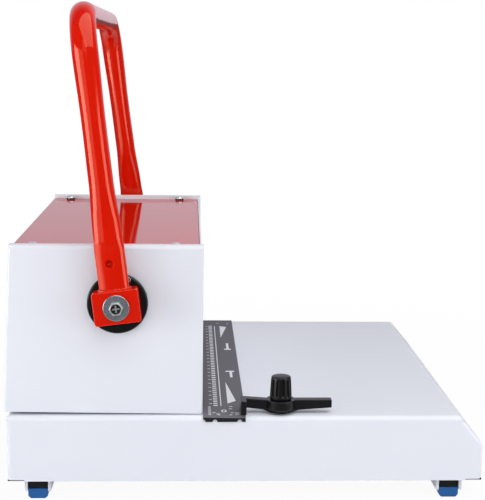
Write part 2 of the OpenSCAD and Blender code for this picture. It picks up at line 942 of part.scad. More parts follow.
module each_flange_screw() {
  for (a = [66, 114])
    translate([pivot_x + flange_screw_r * cos(a), 0, pivot_z + flange_screw_r * sin(a)])
      children();
}

module flange_screw_holes(r) {
  each_flange_screw()
    bar_y(0, 0, r, -flange_y - 1, 3 - panel_y);
}

module flange_screw_pockets() {
  each_flange_screw()
    bar_y(0, 0, 2.6, -flange_y - 1, 1.8 - flange_y);
}

module bush_left() {
  color(black)
    bush();
}

module bush_right() {
  color(black)
    mirror([0, 1, 0])
      bush();
}

module flange_screws() {
  color(zinc)
    both_sides()
      each_flange_screw()
        difference() {
          union() {
            bar_y(0, 0, 1.4, 1.8 - flange_y, 4 - panel_y);
            bar_y(0, 0, 2.5, 0.1 - flange_y, 1.8 - flange_y);
          }
          bar_y(0, 0, 1.1, -flange_y, 1.1 - flange_y);
        }
}

// Guide rods and return springs
module each_rod() {
  for (s = [-1, 1], t = [-1, 1])
    translate([pivot_x + s * rod_x, t * rod_y, 0])
      children();
}

module guide_rods() {
  color(steel)
    each_rod()
      bar_z(0, 0, rod_d / 2, z_guide1 - 10, z_beam1 + 3);
}

// One unbroken coil of wire as a swept tube
module coil(r, wire, turns, z0, z1) {
  rings = turns * 8;
  sides = 6;
  pts = [
    for (i = [0:rings], k = [0:sides - 1])
      let(
        a = 360 * i / 8,
        b = 360 * k / sides,
        q = r + wire * cos(b),
        z = z0 + wire + (z1 - z0 - 2 * wire) * i / rings + wire * sin(b)
      )
      [q * cos(a), q * sin(a), z]
  ];
  skin = [
    for (i = [0:rings - 1], k = [0:sides - 1])
      let(p = i * sides + k, n = i * sides + (k + 1) % sides)
      each [[p, p + sides, n], [n, p + sides, n + sides]]
  ];
  cap0 = [[for (k = [0:sides - 1]) k]];
  cap1 = [[for (k = [0:sides - 1]) rings * sides + sides - 1 - k]];
  polyhedron(pts, concat(skin, cap0, cap1));
}

module return_springs() {
  color(steel)
    each_rod()
      coil(spring_r, wire_d / 2, spring_turns, spring_z0, spring_z1);
}

// Runners of the chip tray
module tray_runners() {
  color(steel)
    both_sides()
      union() {
        box([base_x0 + 13, -tray_w / 2 - 3, z_base], [tray_x1 + 4, 10 - tray_w / 2, z_base + runner_t]);
        box([base_x0 + 13, -tray_w / 2 - 3, z_base], [tray_x1 + 4, -tray_w / 2 - 1, z_base + 14]);
        box([tray_x1 + 2, -tray_w / 2 - 3, z_base], [tray_x1 + 4, 10 - tray_w / 2, z_base + 14]);
      }
}

// Handle parts are drawn upright about the shaft axis and then leaned back
module at_handle() {
  translate([pivot_x, 0, pivot_z])
    rotate([0, -handle_lean, 0])
      children();
}

// How far the tube still is from round, at shares of the flare: its width, then its thickness
flare = [[0, 0.83, 0.73], [0.4, 0.63, 0.53], [0.65, 0.33, 0.27], [1, 0, 0]];

// Stations of one leg: place across, height, direction, half width and half depth of the tube
function leg_stations(cut) = [
  [leg_y, block_h / 2 - cut, 90, flat_w / 2, flat_t / 2],
  [leg_y, leg_kink - flare_len / 4, 90, flat_w / 2, flat_t / 2],
  for (f = flare)
    [
      leg_y - flare_len * f[0] * tan(leg_inward),
      leg_kink + flare_len * f[0],
      90 - leg_inward * (f[0] == 0 ? 0.5 : 1),
      tube_d / 2 + f[1] * (flat_w - tube_d) / 2,
      tube_d / 2 - f[2] * (tube_d - flat_t) / 2
    ],
  for (i = [0:bend_steps])
    let(a = (90 - leg_inward) * (1 - i / bend_steps))
    [bend_y + grip_bend * sin(a), bend_z + grip_bend * cos(a), a, tube_d / 2, tube_d / 2]
];

function tube_stations(cut) = let(s = leg_stations(cut), n = len(s))
  concat(
    [for (p = s) [-p[0], p[1], p[2], p[3], p[4]]],
    [for (i = [1:n]) let(p = s[n - i]) [p[0], p[1], -p[2], p[3], p[4]]]
  );

module swept_tube(st, t, sides) {
  n = len(st);
  pts = [
    for (p = st, k = [0:sides - 1])
      let(b = 360 * k / sides, u = (p[3] - t) * cos(b), v = (p[4] - t) * sin(b))
      [u, p[0] - v * sin(p[2]), p[1] + v * cos(p[2])]
  ];
  skin = [
    for (i = [0:n - 2], k = [0:sides - 1])
      let(p = i * sides + k, q = i * sides + (k + 1) % sides)
      each [[p, q, p + sides], [q, q + sides, p + sides]]
  ];
  cap0 = [[for (k = [0:sides - 1]) sides - 1 - k]];
  cap1 = [[for (k = [0:sides - 1]) (n - 1) * sides + k]];
  polyhedron(pts, concat(skin, cap0, cap1));
}

module handle_tube() {
  color(red)
    at_handle()
      difference() {
        swept_tube(tube_stations(0), 0, 20);
        swept_tube(tube_stations(1), tube_wall, 12);
      }
}

module clamp_block() {
  at_handle()
    difference() {
      along_y(-block_y1, -block_y0)
        round_rect(block_w, block_h, block_r);
      along_y(-block_y0 - square_len - 0.2, 1 - block_y0)
        square(shaft_square + 0.2, center = true);
      bar_y(0, 0, 3.3, -block_y1 - 1, -block_y0);
    }
}

module clamp_block_left() {
  color(red)
    clamp_block();
}

module clamp_block_right() {
  color(red)
    mirror([0, 1, 0])
      clamp_block();
}

// Main shaft with square ends and keyways
module main_shaft() {
  color(steel)
    difference() {
      union() {
        bar_y(pivot_x, pivot_z, shaft_d / 2, -flange_y, flange_y);
        at_handle()
          along_y(-block_y0 - square_len, block_y0 + square_len)
            square(shaft_square, center = true);
      }
      both_sides() {
        key_cut(0);
        bar_y(pivot_x, pivot_z, 3.1, -block_y0 - square_len - 1, 22 - block_y0);
      }
    }
}

// Cams and their keys, drawn with the cam pointing along X and then turned to its rest angle
module at_cam() {
  translate([pivot_x, -cam_spread / 2, pivot_z])
    rotate([0, -cam_a, 0])
      children();
}

module key_cut(e) {
  at_cam()
    box([shaft_d / 2 - 3.5, -cam_t / 2, -3 - e], [shaft_d / 2 + 2.5 + e, cam_t / 2, 3 + e]);
}

module cam() {
  difference() {
    at_cam()
      bar_y(cam_e, 0, cam_d / 2, -cam_t / 2, cam_t / 2);
    bar_y(pivot_x, pivot_z, shaft_d / 2 + 0.05, -cam_spread, 0);
    at_cam()
      box([shaft_d / 2 - 4, -cam_t, -3.05], [shaft_d / 2 + 2.55, cam_t, 3.05]);
  }
}

module cam_left() {
  color(steel)
    cam();
}

module cam_right() {
  color(steel)
    mirror([0, 1, 0])
      cam();
}

module cam_keys() {
  color(zinc)
    both_sides()
      key_cut(0);
}

// Washer and bolt on each shaft end
module handle_washers() {
  color(zinc)
    at_handle()
      both_sides()
        difference() {
          bar_y(0, 0, washer_d / 2, -block_y1 - 1.6, -block_y1);
          bar_y(0, 0, 3.2, -block_y1 - 3, 1 - block_y1);
        }
}

module handle_bolts() {
  color(zinc)
    at_handle()
      both_sides()
        difference() {
          union() {
            bar_y(0, 0, 3, -block_y1 - 1.6, 18 - block_y0);
            translate([0, -block_y1 - 1.6, 0])
              rotate([90, 0, 0])
                cylinder(d = bolt_af / cos(30), h = 4, $fn = 6);
          }
          bar_y(0, 0, bolt_af / 2 - 1.4, -block_y1 - 9, -block_y1 - 4.6);
          for (a = [0, 90])
            rotate([0, a, 0])
              box([-2.6, -block_y1 - 9, -0.55], [2.6, -block_y1 - 3.4, 0.55]);
        }
}

// Press beam with its yokes, bushes, retainer and pins
module press_beam() {
  color(steel)
    difference() {
      box([pivot_x - beam_w / 2, 4 - punch_w / 2, z_beam], [pivot_x + beam_w / 2, punch_w / 2 - 4, z_beam1]);
      each_rod()
        bar_z(0, 0, rod_d / 2 + rod_gap + bush_wall + 0.05, z_beam - 1, z_beam1 + 1);
      each_yoke_screw() {
        bar_z(0, 0, 3.2, z_beam - 1, z_beam1 + 1);
        bar_z(0, 0, 5.5, z_beam - 1, z_beam + 6.4);
      }
      each_retainer_screw()
        bar_z(0, 0, 2.6, z_beam - 1, z_beam + 12);
    }
}

module each_yoke_screw() {
  for (s = [-1, 1], t = [-1, 1])
    translate([pivot_x + s * 14, t * cam_spread / 2, 0])
      children();
}

module each_retainer_screw() {
  for (s = [-1, 1], y = retainer_screw_y)
    translate([pivot_x + s * 9.5, y, 0])
      children();
}

module yoke() {
  difference() {
    box(
      [window_x - window_w / 2 - yoke_wall, -cam_spread / 2 - cam_t / 2, z_beam1],
      [window_x + window_w / 2 + yoke_wall, -cam_spread / 2 + cam_t / 2, window_z1 + yoke_wall]
    );
    box(
      [window_x - window_w / 2, -cam_spread / 2 - cam_t, window_z0],
      [window_x + window_w / 2, -cam_spread / 2 + cam_t, window_z1]
    );
    each_yoke_screw()
      bar_z(0, 0, 3.1, z_beam1 - 1, z_beam1 + 8);
  }
}

module yoke_left() {
  color(steel)
    yoke();
}

module yoke_right() {
  color(steel)
    mirror([0, 1, 0])
      yoke();
}

module beam_bushes() {
  color(brass)
    each_rod()
      difference() {
        bar_z(0, 0, rod_d / 2 + rod_gap + bush_wall, z_beam, z_beam1);
        bar_z(0, 0, rod_d / 2 + rod_gap, z_beam - 1, z_beam1 + 1);
      }
}

module yoke_screws() {
  color(slate)
    each_yoke_screw() {
      bar_z(0, 0, 5, z_beam + 0.4, z_beam + 6.4);
      bar_z(0, 0, 3, z_beam + 6.4, z_beam1 + 7);
    }
}

module pin_retainer() {
  color(steel)
    difference() {
      box([pivot_x - 14, 3 - punch_w / 2, z_retainer], [pivot_x + 14, punch_w / 2 - 3, z_beam]);
      box([pivot_x - 3.5, -punch_w, z_beam - 3], [pivot_x + 3.5, punch_w, z_beam + 1]);
      for (i = [0:pin_count - 1])
        bar_z(pivot_x, pin_y0 + i * pin_pitch, pin_d / 2 + 0.05, z_retainer - 1, z_beam);
      each_rod()
        bar_z(0, 0, spring_r + wire_d / 2 + 0.8, z_retainer - 1, z_beam + 1);
      each_retainer_screw() {
        bar_z(0, 0, 2.6, z_retainer - 1, z_beam + 1);
        bar_z(0, 0, 4.4, z_retainer - 1, z_retainer + 5.2);
      }
    }
}

module punch_pins() {
  color(zinc)
    for (i = [0:pin_count - 1]) {
      bar_z(pivot_x, pin_y0 + i * pin_pitch, pin_d / 2, pin_tip, z_beam - 3);
      bar_z(pivot_x, pin_y0 + i * pin_pitch, pin_d / 2 + 0.9, z_beam - 3, z_beam - 0.1);
    }
}

module retainer_screws() {
  color(slate)
    each_retainer_screw() {
      bar_z(0, 0, 4.2, z_retainer + 0.4, z_retainer + 5.2);
      bar_z(0, 0, 2.5, z_retainer + 5.2, z_beam + 11);
    }
}

// Edge guide with its clamp bolt and knob
// Top of the rear arm, which climbs a little towards the leg
function arm_top(x) = z_bar1 + bar_rise * (knob_x - boss_top_d / 2 - x) / (guide_rear - boss_top_d / 2);

module guide_bar() {
  x0 = knob_x - guide_rear;
  x1 = knob_x + guide_ahead;
  x2 = x0 + 4.6;
  b = boss_d / 2;
  c = boss_top_d / 2;
  color(black)
    difference() {
      union() {
        along_y(knob_y - bar_d / 2, knob_y + bar_d / 2)
          polygon([
            [knob_x - c, z_bar1],
            [x0, arm_top(x0)],
            [x0, z_bar + 0.4],
            [knob_x - b - 8, z_deck + 3.4],
            [knob_x - b, z_deck + 0.3],
            [knob_x + b, z_deck + 0.3],
            [knob_x + b + 8, z_deck + 3],
            [x1, z_bar],
            [x1, z_bar1]
          ]);
        translate([knob_x, knob_y, 0])
          rotate_extrude()
            polygon([
              [0, z_deck + 0.3],
              [b, z_deck + 0.3],
              [b, z_deck + 1.4],
              [c, z_bar - 0.6],
              [c, z_bar1],
              [0, z_bar1]
            ]);
        along_y(-base_w / 2 - plate_t, knob_y + bar_d / 2)
          polygon([[x0, z_die + 0.3], [x2, z_die + 0.3], [x2, arm_top(x2)], [x0, arm_top(x0)]]);
      }
      bar_z(knob_x, knob_y, guide_bolt_d / 2 + 0.2, z_deck - 1, z_bar1 + 1);
    }
}

module guide_bolt() {
  color(zinc)
    union() {
      bar_z(knob_x, knob_y, guide_bolt_d / 2, z_deck - sheet - 0.3, z_knob + 13);
      bar_z(knob_x, knob_y, 8, z_deck - sheet - 3.8, z_deck - sheet - 0.3);
    }
}

module guide_knob() {
  r = knob_d / 2;
  flutes = 10;
  color(black)
    translate([knob_x, knob_y, z_knob])
      difference() {
        union() {
          intersection() {
            cylinder(r = r, h = knob_h);
            translate([0, 0, knob_h - 2.2 * knob_d])
              sphere(r = 2.2 * knob_d, $fn = 96);
          }
          cylinder(r = r + 0.5, h = 3);
        }
        for (k = [0:flutes - 1])
          rotate([0, 0, 360 * (k + 0.5) / flutes])
            translate([r + 0.9, 0, 3])
              cylinder(r = 1.9, h = knob_h);
        translate([0, 0, -1])
          cylinder(r = guide_bolt_d / 2 + 0.3, h = 15);
      }
}

// Chip tray with a face plate and a finger notch
module chip_tray() {
  y = tray_w / 2;
  color(black)
    difference() {
      union() {
        box([tray_x0, -y, tray_z0], [tray_x1, y, tray_z1]);
        box([tray_x0 - 2, -y - 5, tray_z0 - 1.5], [tray_x0, y + 5, tray_z1 + 4]);
      }
      box(
        [tray_x0 + tray_wall, tray_wall - y, tray_z0 + tray_wall],
        [tray_x1 - tray_wall, y - tray_wall, tray_z1 + 10]
      );
      translate([tray_x0 - 3, 0, tray_z1 + 4])
        rotate([0, 90, 0])
          cylinder(r = notch_r, h = tray_wall + 4);
    }
}

base_shell();
bottom_plate();
bottom_screws();
foot_brackets();
foot_blocks();
foot_pads();
foot_screws();
scale_plate();
die_plate();
pin_guide();
back_stop();
side_frame_left();
side_frame_right();
frame_bolts();
frame_feet_bolts();
tie_bars();
standoffs();
standoff_screws();
end_panel_left();
end_panel_right();
front_panel();
rear_panel();
top_cover();
cover_screws();
shell_screws();
bush_left();
bush_right();
flange_screws();
guide_rods();
return_springs();
tray_runners();
handle_tube();
clamp_block_left();
clamp_block_right();
main_shaft();
cam_left();
cam_right();
cam_keys();
handle_washers();
handle_bolts();
press_beam();
yoke_left();
yoke_right();
pin_retainer();
punch_pins();
beam_bushes();
yoke_screws();
retainer_screws();
guide_bar();
guide_bolt();
guide_knob();
chip_tray();
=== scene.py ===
# %% [markdown]
# # A desktop coil binding punch, dressed around its CAD frame
# The solids of this machine come from CAD and are already in their places, in metres. This lesson adds
# what a maker's eye looks for: soft edges, a smooth bent handle, welds, screw slots, printed marks,
# paint and metal. Nothing of the frame is moved. Each new piece says which solid it stands for and
# which body it rides on, so the handle, press, guide, knob and tray still move.

# %% Load the frame
import math

import bmesh
import bpy
from mathutils import Matrix, Vector


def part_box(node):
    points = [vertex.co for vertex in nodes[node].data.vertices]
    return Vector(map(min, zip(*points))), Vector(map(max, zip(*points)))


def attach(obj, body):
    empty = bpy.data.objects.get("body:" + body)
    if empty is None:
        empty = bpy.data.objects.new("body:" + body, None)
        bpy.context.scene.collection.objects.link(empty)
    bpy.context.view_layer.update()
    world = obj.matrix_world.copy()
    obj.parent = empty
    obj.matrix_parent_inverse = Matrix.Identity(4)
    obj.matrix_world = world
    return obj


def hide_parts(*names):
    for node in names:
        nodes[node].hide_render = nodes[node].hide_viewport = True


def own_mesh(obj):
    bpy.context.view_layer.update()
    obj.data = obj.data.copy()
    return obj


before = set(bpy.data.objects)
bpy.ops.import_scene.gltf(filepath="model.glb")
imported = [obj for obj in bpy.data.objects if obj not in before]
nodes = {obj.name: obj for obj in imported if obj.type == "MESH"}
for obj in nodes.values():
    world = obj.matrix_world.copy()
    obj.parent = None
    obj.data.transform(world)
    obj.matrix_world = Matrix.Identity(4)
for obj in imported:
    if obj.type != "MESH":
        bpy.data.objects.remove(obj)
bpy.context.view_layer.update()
MM = 0.001

# %% [markdown]
# ## Camera
# The photograph was taken from the operator's left, a little above the table. Its position and lens
# were found from corners of the machine, so the camera is set by three directions: where it looks,
# which way is right and which way is up. A slight roll is part of it. It could be turned by eye until it
# looks right, but numbers can be checked and give the same view each time.

# %% Camera
eye = Vector((-0.0475, -1.1414, 0.3748))  # in metres
pitch, yaw, roll = 0.165, 0.0447, 0.0127  # in radians
focal_px, picture_px, sensor_mm = 1196.9, 500, 36

ahead = Vector((math.sin(yaw) * math.cos(pitch), math.cos(yaw) * math.cos(pitch), -math.sin(pitch)))
level = Vector((math.cos(yaw), -math.sin(yaw), 0))
above = Vector((math.sin(yaw) * math.sin(pitch), math.cos(yaw) * math.sin(pitch), math.cos(pitch)))
right = math.cos(roll) * level + math.sin(roll) * above
up = math.cos(roll) * above - math.sin(roll) * level

bpy.ops.object.select_all(action="DESELECT")
bpy.ops.object.camera_add(location=eye)
camera = bpy.context.object
camera.matrix_world = Matrix.Translation(eye) @ Matrix((right, up, -ahead)).transposed().to_4x4()
camera.data.sensor_width = sensor_mm
camera.data.lens = focal_px / picture_px * camera.data.sensor_width
bpy.context.scene.camera = camera
print("lens in mm:", round(camera.data.lens, 2))

# %% [markdown]
# ## Light and floor
# The studio is white. A soft lamp at the left draws the broad bright band on the handle, and a weaker one
# nearer the camera lets that band fade out. A lamp at the right draws the thin line, a weak one stands
# behind and above the camera, and a large one hangs over the table. One bright world could light it
# all, but then the enamel would show no bands. To the camera the world is plain white, and paint gets only a part of
# that light, so the background never adds light to the object. Reflections show a pale backdrop behind
# the machine and a dim room on the photographer's side, which is why black plastic looks black.

# %% Colour and node helpers
def linear(hex_code):
    """Linear RGBA of an sRGB colour such as #D21A0C."""
    parts = [int(hex_code[i:i + 2], 16) / 255 for i in (1, 3, 5)]
    return [c / 12.92 if c <= 0.04045 else ((c + 0.055) / 1.055) ** 2.4 for c in parts] + [1.0]


def add_node(tree, kind, inputs=None, **settings):
    """A shader node with its settings; inputs holds values, or sockets to link from."""
    node = tree.nodes.new("ShaderNode" + kind)
    for name, value in settings.items():
        setattr(node, name, value)
    for name, value in (inputs or {}).items():
        if isinstance(value, bpy.types.NodeSocket):
            tree.links.new(value, node.inputs[name])
        else:
            node.inputs[name].default_value = value
    return node


# %% World
room_light = 0.19  # share of the white that reaches paint
dim_room, pale_backdrop = 0.12, 0.75  # what reflections show in front and behind
turn_from, turn_to = 0.3, 0.9  # how far towards the back a reflection looks where one turns into the other

scene = bpy.context.scene
scene.view_settings.view_transform = "Standard"
scene.world = bpy.data.worlds.new("white_studio")
scene.world.use_nodes = True
tree = scene.world.node_tree
tree.nodes.clear()
rays = add_node(tree, "LightPath")
mirrored = add_node(tree, "Math", {0: rays.outputs["Is Glossy Ray"], 1: rays.outputs["Is Transmission Ray"]},
                    operation="ADD", use_clamp=True)
room = add_node(tree, "Background", {"Color": linear("#F6F8FF"), "Strength": room_light})
aim = add_node(tree, "SeparateXYZ", {0: add_node(tree, "TexCoord").outputs["Generated"]})
backdrop = add_node(tree, "MapRange", {0: aim.outputs["Y"], 1: turn_from, 2: turn_to, 3: dim_room,
                                       4: pale_backdrop}, interpolation_type="SMOOTHSTEP")
backdrop = add_node(tree, "Background", {"Color": linear("#F6F4FF"), "Strength": backdrop.outputs[0]})
white = add_node(tree, "Background", {"Color": (1, 1, 1, 1), "Strength": 1.0})
mix = add_node(tree, "MixShader", {0: mirrored.outputs[0], 1: room.outputs[0], 2: backdrop.outputs[0]})
mix = add_node(tree, "MixShader", {0: rays.outputs["Is Camera Ray"], 1: mix.outputs[0], 2: white.outputs[0]})
add_node(tree, "OutputWorld", {"Surface": mix.outputs[0]})
print("world:", scene.world.name, "with", len(tree.nodes), "nodes")

# %% Lamps
def softbox(name, place, target, size, watts):
    """A soft rectangular lamp at a place, turned to face a target."""
    bpy.ops.object.light_add(type="AREA", location=place)
    lamp = bpy.context.object
    lamp.name = name
    lamp.data.shape = "RECTANGLE"
    lamp.data.size, lamp.data.size_y = size
    lamp.data.energy = watts
    lamp.rotation_euler = (Vector(target) - Vector(place)).to_track_quat("-Z", "Y").to_euler()


handle_at, machine_at, table_at = (-0.1, -0.16, 0.25), (0, 0, 0.15), (0.1, -0.1, 0.1)
softbox("left_softbox", (-1.0, -0.47, 0.28), handle_at, (0.62, 0.52), 5.2)
softbox("left_fill", (-0.78, -1.05, 0.33), handle_at, (0.72, 0.6), 1.3)
softbox("front_softbox", (-0.1, -2.0, 1.2), machine_at, (1.0, 0.8), 1.7)
softbox("table_softbox", (0.4, -0.5, 1.3), table_at, (1.9, 1.6), 18.6)
softbox("right_softbox", (0.92, -0.7, 0.32), handle_at, (0.55, 0.5), 3.0)

# %% [markdown]
# The floor is one large plane. For the camera it mixes its own shade with white, so that a light shadow
# stays under the feet and no horizon shows. A floor that is only lit white would need far more light on
# the machine. In reflections it is pale behind the machine, dark in front of it and far round it, and
# it glows below the two side lamps.

# %% Floor
floor_width = 30
bpy.ops.mesh.primitive_plane_add(size=floor_width, location=(0, 0, 0))
floor = bpy.context.object
floor.name = "floor"
print("floor width in metres:", floor_width)

# %% Floor paint
# share of plain white that the camera sees close to the machine, and the distances over which it grows to all
white_share, white_from, white_to = 0.95, 0.2, 0.8
# how bright reflections show it in front, behind and far round, and the distances between these
front_glow, back_glow, round_glow = 0.16, 0.8, 0.08
front_y, back_y, round_from, round_to = -0.7, 0.1, 0.5, 1.1
# patches below the side lamps: place and brightness, and the distances over which they come up
lamp_glows, glow_from, glow_to = ((-0.85, -0.45, 2.6), (0.95, -0.4, 2.0)), 0.55, 0.15

floor_paint = bpy.data.materials.new("pale_floor")
floor_paint.use_nodes = True
tree = floor_paint.node_tree
tree.nodes.clear()
rays = add_node(tree, "LightPath")
mirrored = add_node(tree, "Math", {0: rays.outputs["Is Glossy Ray"], 1: rays.outputs["Is Transmission Ray"]},
                    operation="ADD", use_clamp=True)
spot = add_node(tree, "TexCoord").outputs["Object"]
far_off = add_node(tree, "VectorMath", {0: spot}, operation="LENGTH")
share = add_node(tree, "MapRange", {0: far_off.outputs["Value"], 1: white_from, 2: white_to, 3: white_share,
                                    4: 1.0}, interpolation_type="SMOOTHSTEP")
share = add_node(tree, "Math", {0: share.outputs[0], 1: rays.outputs["Is Camera Ray"]}, operation="MULTIPLY")
share = add_node(tree, "Math", {0: share.outputs[0], 1: mirrored.outputs[0]}, operation="MAXIMUM")
depth = add_node(tree, "SeparateXYZ", {0: spot})
front = add_node(tree, "MapRange", {0: depth.outputs["Y"], 1: front_y, 2: back_y, 3: front_glow, 4: back_glow},
                 interpolation_type="SMOOTHSTEP")
around = add_node(tree, "MapRange", {0: far_off.outputs["Value"], 1: round_from, 2: round_to, 3: back_glow,
                                     4: round_glow}, interpolation_type="SMOOTHSTEP")
dim = add_node(tree, "Math", {0: front.outputs[0], 1: around.outputs[0]}, operation="MINIMUM")
for lamp_x, lamp_y, glow in lamp_glows:
    apart = add_node(tree, "VectorMath", {0: spot, 1: (lamp_x, lamp_y, 0)}, operation="DISTANCE")
    lit = add_node(tree, "MapRange", {0: apart.outputs["Value"], 1: glow_from, 2: glow_to, 3: 0.0, 4: glow},
                   interpolation_type="SMOOTHSTEP")
    dim = add_node(tree, "Math", {0: dim.outputs[0], 1: lit.outputs[0]}, operation="MAXIMUM")
dim = add_node(tree, "MixRGB", {0: rays.outputs["Is Camera Ray"], 1: dim.outputs[0], 2: (1, 1, 1, 1)})
shade = add_node(tree, "BsdfDiffuse", {"Color": linear("#F4F4F6")})
white = add_node(tree, "Emission", {"Color": (1, 1, 1, 1), "Strength": dim.outputs[0]})
mix = add_node(tree, "MixShader", {0: share.outputs[0], 1: shade.outputs[0], 2: white.outputs[0]})
add_node(tree, "OutputMaterial", {"Surface": mix.outputs[0]})
floor.data.materials.append(floor_paint)
print("paint:", floor_paint.name, "with", len(tree.nodes), "nodes")

# %% [markdown]
# ## Finishes
# Every finish reads Object coordinates. All pieces sit at the origin, so one unit is one metre, and a
# pattern of so many millimetres has a scale of 1000 divided by that size. A picture of each surface could
# be wrapped round the pieces instead, but noise needs no file and no unwrapping, and it stays sharp
# from every side.

# %% Starting a finish
def new_finish(name, colour, roughness, metallic=0.0, **more):
    """A material with one Principled shader; returns the material, its tree, shader and coordinates."""
    finish = bpy.data.materials.new(name)
    finish.use_nodes = True
    finish.node_tree.nodes.clear()
    tree = finish.node_tree
    values = {"Base Color": linear(colour), "Roughness": roughness, "Metallic": metallic}
    values.update({key.replace("_", " "): value for key, value in more.items()})
    shader = add_node(tree, "BsdfPrincipled", values)
    add_node(tree, "OutputMaterial", {"Surface": shader.outputs[0]})
    place = add_node(tree, "TexCoord").outputs["Object"]
    return finish, tree, shader, place


def per_mm(size):
    """Texture scale at which one pattern cell is this many millimetres."""
    return 1000 / size


# %% [markdown]
# White powder coat on folded steel sheet: the powder melts to a satin skin with a faint orange peel,
# about 2.5 mm from bump to bump, and very slight cloudiness.

# %% White powder coat
def powder_coat(name, light, dark, shine=0.42):
    finish, tree, shader, place = new_finish(name, light, 0.36, Specular_IOR_Level=shine)
    peel = add_node(tree, "TexNoise", {"Vector": place, "Scale": per_mm(2.5), "Detail": 2.0})
    bump = add_node(tree, "Bump", {"Height": peel.outputs["Fac"], "Strength": 0.05, "Distance": 0.0002})
    tree.links.new(bump.outputs[0], shader.inputs["Normal"])
    cloud = add_node(tree, "TexNoise", {"Vector": place, "Scale": per_mm(90), "Detail": 3.0})
    tone = add_node(tree, "MixRGB", {0: cloud.outputs["Fac"], 1: linear(dark), 2: linear(light)})
    tree.links.new(tone.outputs[0], shader.inputs["Base Color"])
    satin = add_node(tree, "MapRange", {0: peel.outputs["Fac"], 3: 0.30, 4: 0.42})
    tree.links.new(satin.outputs[0], shader.inputs["Roughness"])
    return finish


white_coat = powder_coat("white_powder_coat", "#E1E4EB", "#DCDFE7")
# the bottom plate's coat: black with little shine, partly its paint and partly painted shade, so its thin edge under
# the base reads as the dark shaded gap
black_coat_and_shade = powder_coat("black_powder_coat", "#0C0C0E", "#080809", 0.1)
print("coats:", white_coat.name, black_coat_and_shade.name)

# %% [markdown]
# Red stove enamel: wet paint baked on the handle, thick and glossy, with a long soft waviness that bends
# the bright lines a little. The cover has the same red in a flatter, clearer gloss.

# %% Red enamel
def enamel(name, colour, deep, roughness, wave, shine, tint):
    finish, tree, shader, place = new_finish(name, colour, roughness, Specular_IOR_Level=shine,
                                             Specular_Tint=linear(tint))
    flow = add_node(tree, "TexNoise", {"Vector": place, "Scale": per_mm(9), "Detail": 1.5})
    bump = add_node(tree, "Bump", {"Height": flow.outputs["Fac"], "Strength": wave, "Distance": 0.0003})
    tree.links.new(bump.outputs[0], shader.inputs["Normal"])
    depth = add_node(tree, "TexNoise", {"Vector": place, "Scale": per_mm(40), "Detail": 2.0})
    tone = add_node(tree, "MixRGB", {0: depth.outputs["Fac"], 1: linear(deep), 2: linear(colour)})
    tree.links.new(tone.outputs[0], shader.inputs["Base Color"])
    return finish


red_enamel = enamel("red_stove_enamel", "#D61500", "#CB1100", 0.1, 0.04, 0.62, "#FFDCB8")
red_sheet = enamel("red_gloss_sheet_paint", "#CA170A", "#C21508", 0.07, 0.015, 0.5, "#FFFFFF")
print("enamels:", red_enamel.name, red_sheet.name)

# %% [markdown]
# Black moulded nylon for the guide, knob and tray: nearly black with a fine eroded grain. The real
# grain is about 0.3 mm, and it is drawn at 0.8 mm so that it shows. The bearing flange is turned
# acetal, smoother and with a broader grain. The rubbers of the feet are made the same way, rougher.

# %% Black plastics and rubber
def moulded(name, colour, roughness, grain, depth):
    finish, tree, shader, place = new_finish(name, colour, roughness, Specular_IOR_Level=0.35)
    pits = add_node(tree, "TexNoise", {"Vector": place, "Scale": per_mm(grain), "Detail": 3.0})
    bump = add_node(tree, "Bump", {"Height": pits.outputs["Fac"], "Strength": depth, "Distance": 0.0002})
    tree.links.new(bump.outputs[0], shader.inputs["Normal"])
    wear = add_node(tree, "TexNoise", {"Vector": place, "Scale": per_mm(25), "Detail": 4.0})
    rough = add_node(tree, "MapRange", {0: wear.outputs["Fac"], 3: roughness - 0.06, 4: roughness + 0.08})
    tree.links.new(rough.outputs[0], shader.inputs["Roughness"])
    return finish


black_nylon = moulded("black_moulded_nylon", "#0E0E10", 0.30, 0.8, 0.10)
black_acetal = moulded("black_turned_acetal", "#0B0D0E", 0.34, 1.6, 0.05)
# near black, also used as painted shade: on the feet blocks under the base and on the scale plate's bent ends
black_rubber = moulded("black_rubber", "#050608", 0.62, 1.0, 0.2)
blue_rubber = moulded("blue_elastomer", "#1A5C9C", 0.38, 1.2, 0.1)
print("plastics:", [m.name for m in (black_nylon, black_acetal, black_rubber, blue_rubber)])

# %% [markdown]
# Metals: ground tool steel has fine parallel lines, zinc plate a patchy bluish bloom, black oxide is a
# dark oily skin and the bushes are sintered bronze with tiny pores.

# %% Metals
def metal(name, light, dark, roughness, grain, stretch=(1, 1, 1), depth=0.05, metallic=1.0):
    finish, tree, shader, place = new_finish(name, light, roughness, metallic)
    turned = add_node(tree, "Mapping", {"Vector": place, "Scale": stretch})
    lines = add_node(tree, "TexNoise", {"Vector": turned.outputs[0], "Scale": per_mm(grain), "Detail": 3.0})
    tone = add_node(tree, "MixRGB", {0: lines.outputs["Fac"], 1: linear(dark), 2: linear(light)})
    tree.links.new(tone.outputs[0], shader.inputs["Base Color"])
    rough = add_node(tree, "MapRange", {0: lines.outputs["Fac"], 3: roughness - 0.07, 4: roughness + 0.09})
    tree.links.new(rough.outputs[0], shader.inputs["Roughness"])
    bump = add_node(tree, "Bump", {"Height": lines.outputs["Fac"], "Strength": depth, "Distance": 0.0001})
    tree.links.new(bump.outputs[0], shader.inputs["Normal"])
    return finish


tool_steel = metal("ground_tool_steel", "#A9ACB1", "#8E9196", 0.34, 1.2, (1, 0.06, 1), 0.08)
zinc = metal("zinc_plated_steel", "#B2BABF", "#A4ABB1", 0.24, 3.0, metallic=0.8)
bright_zinc = metal("bright_zinc_plated_steel", "#E4E8EC", "#D2D7DB", 0.3, 3.0, metallic=0.7)
tarnished = metal("tarnished_zinc", "#6A6455", "#38342C", 0.38, 1.2)
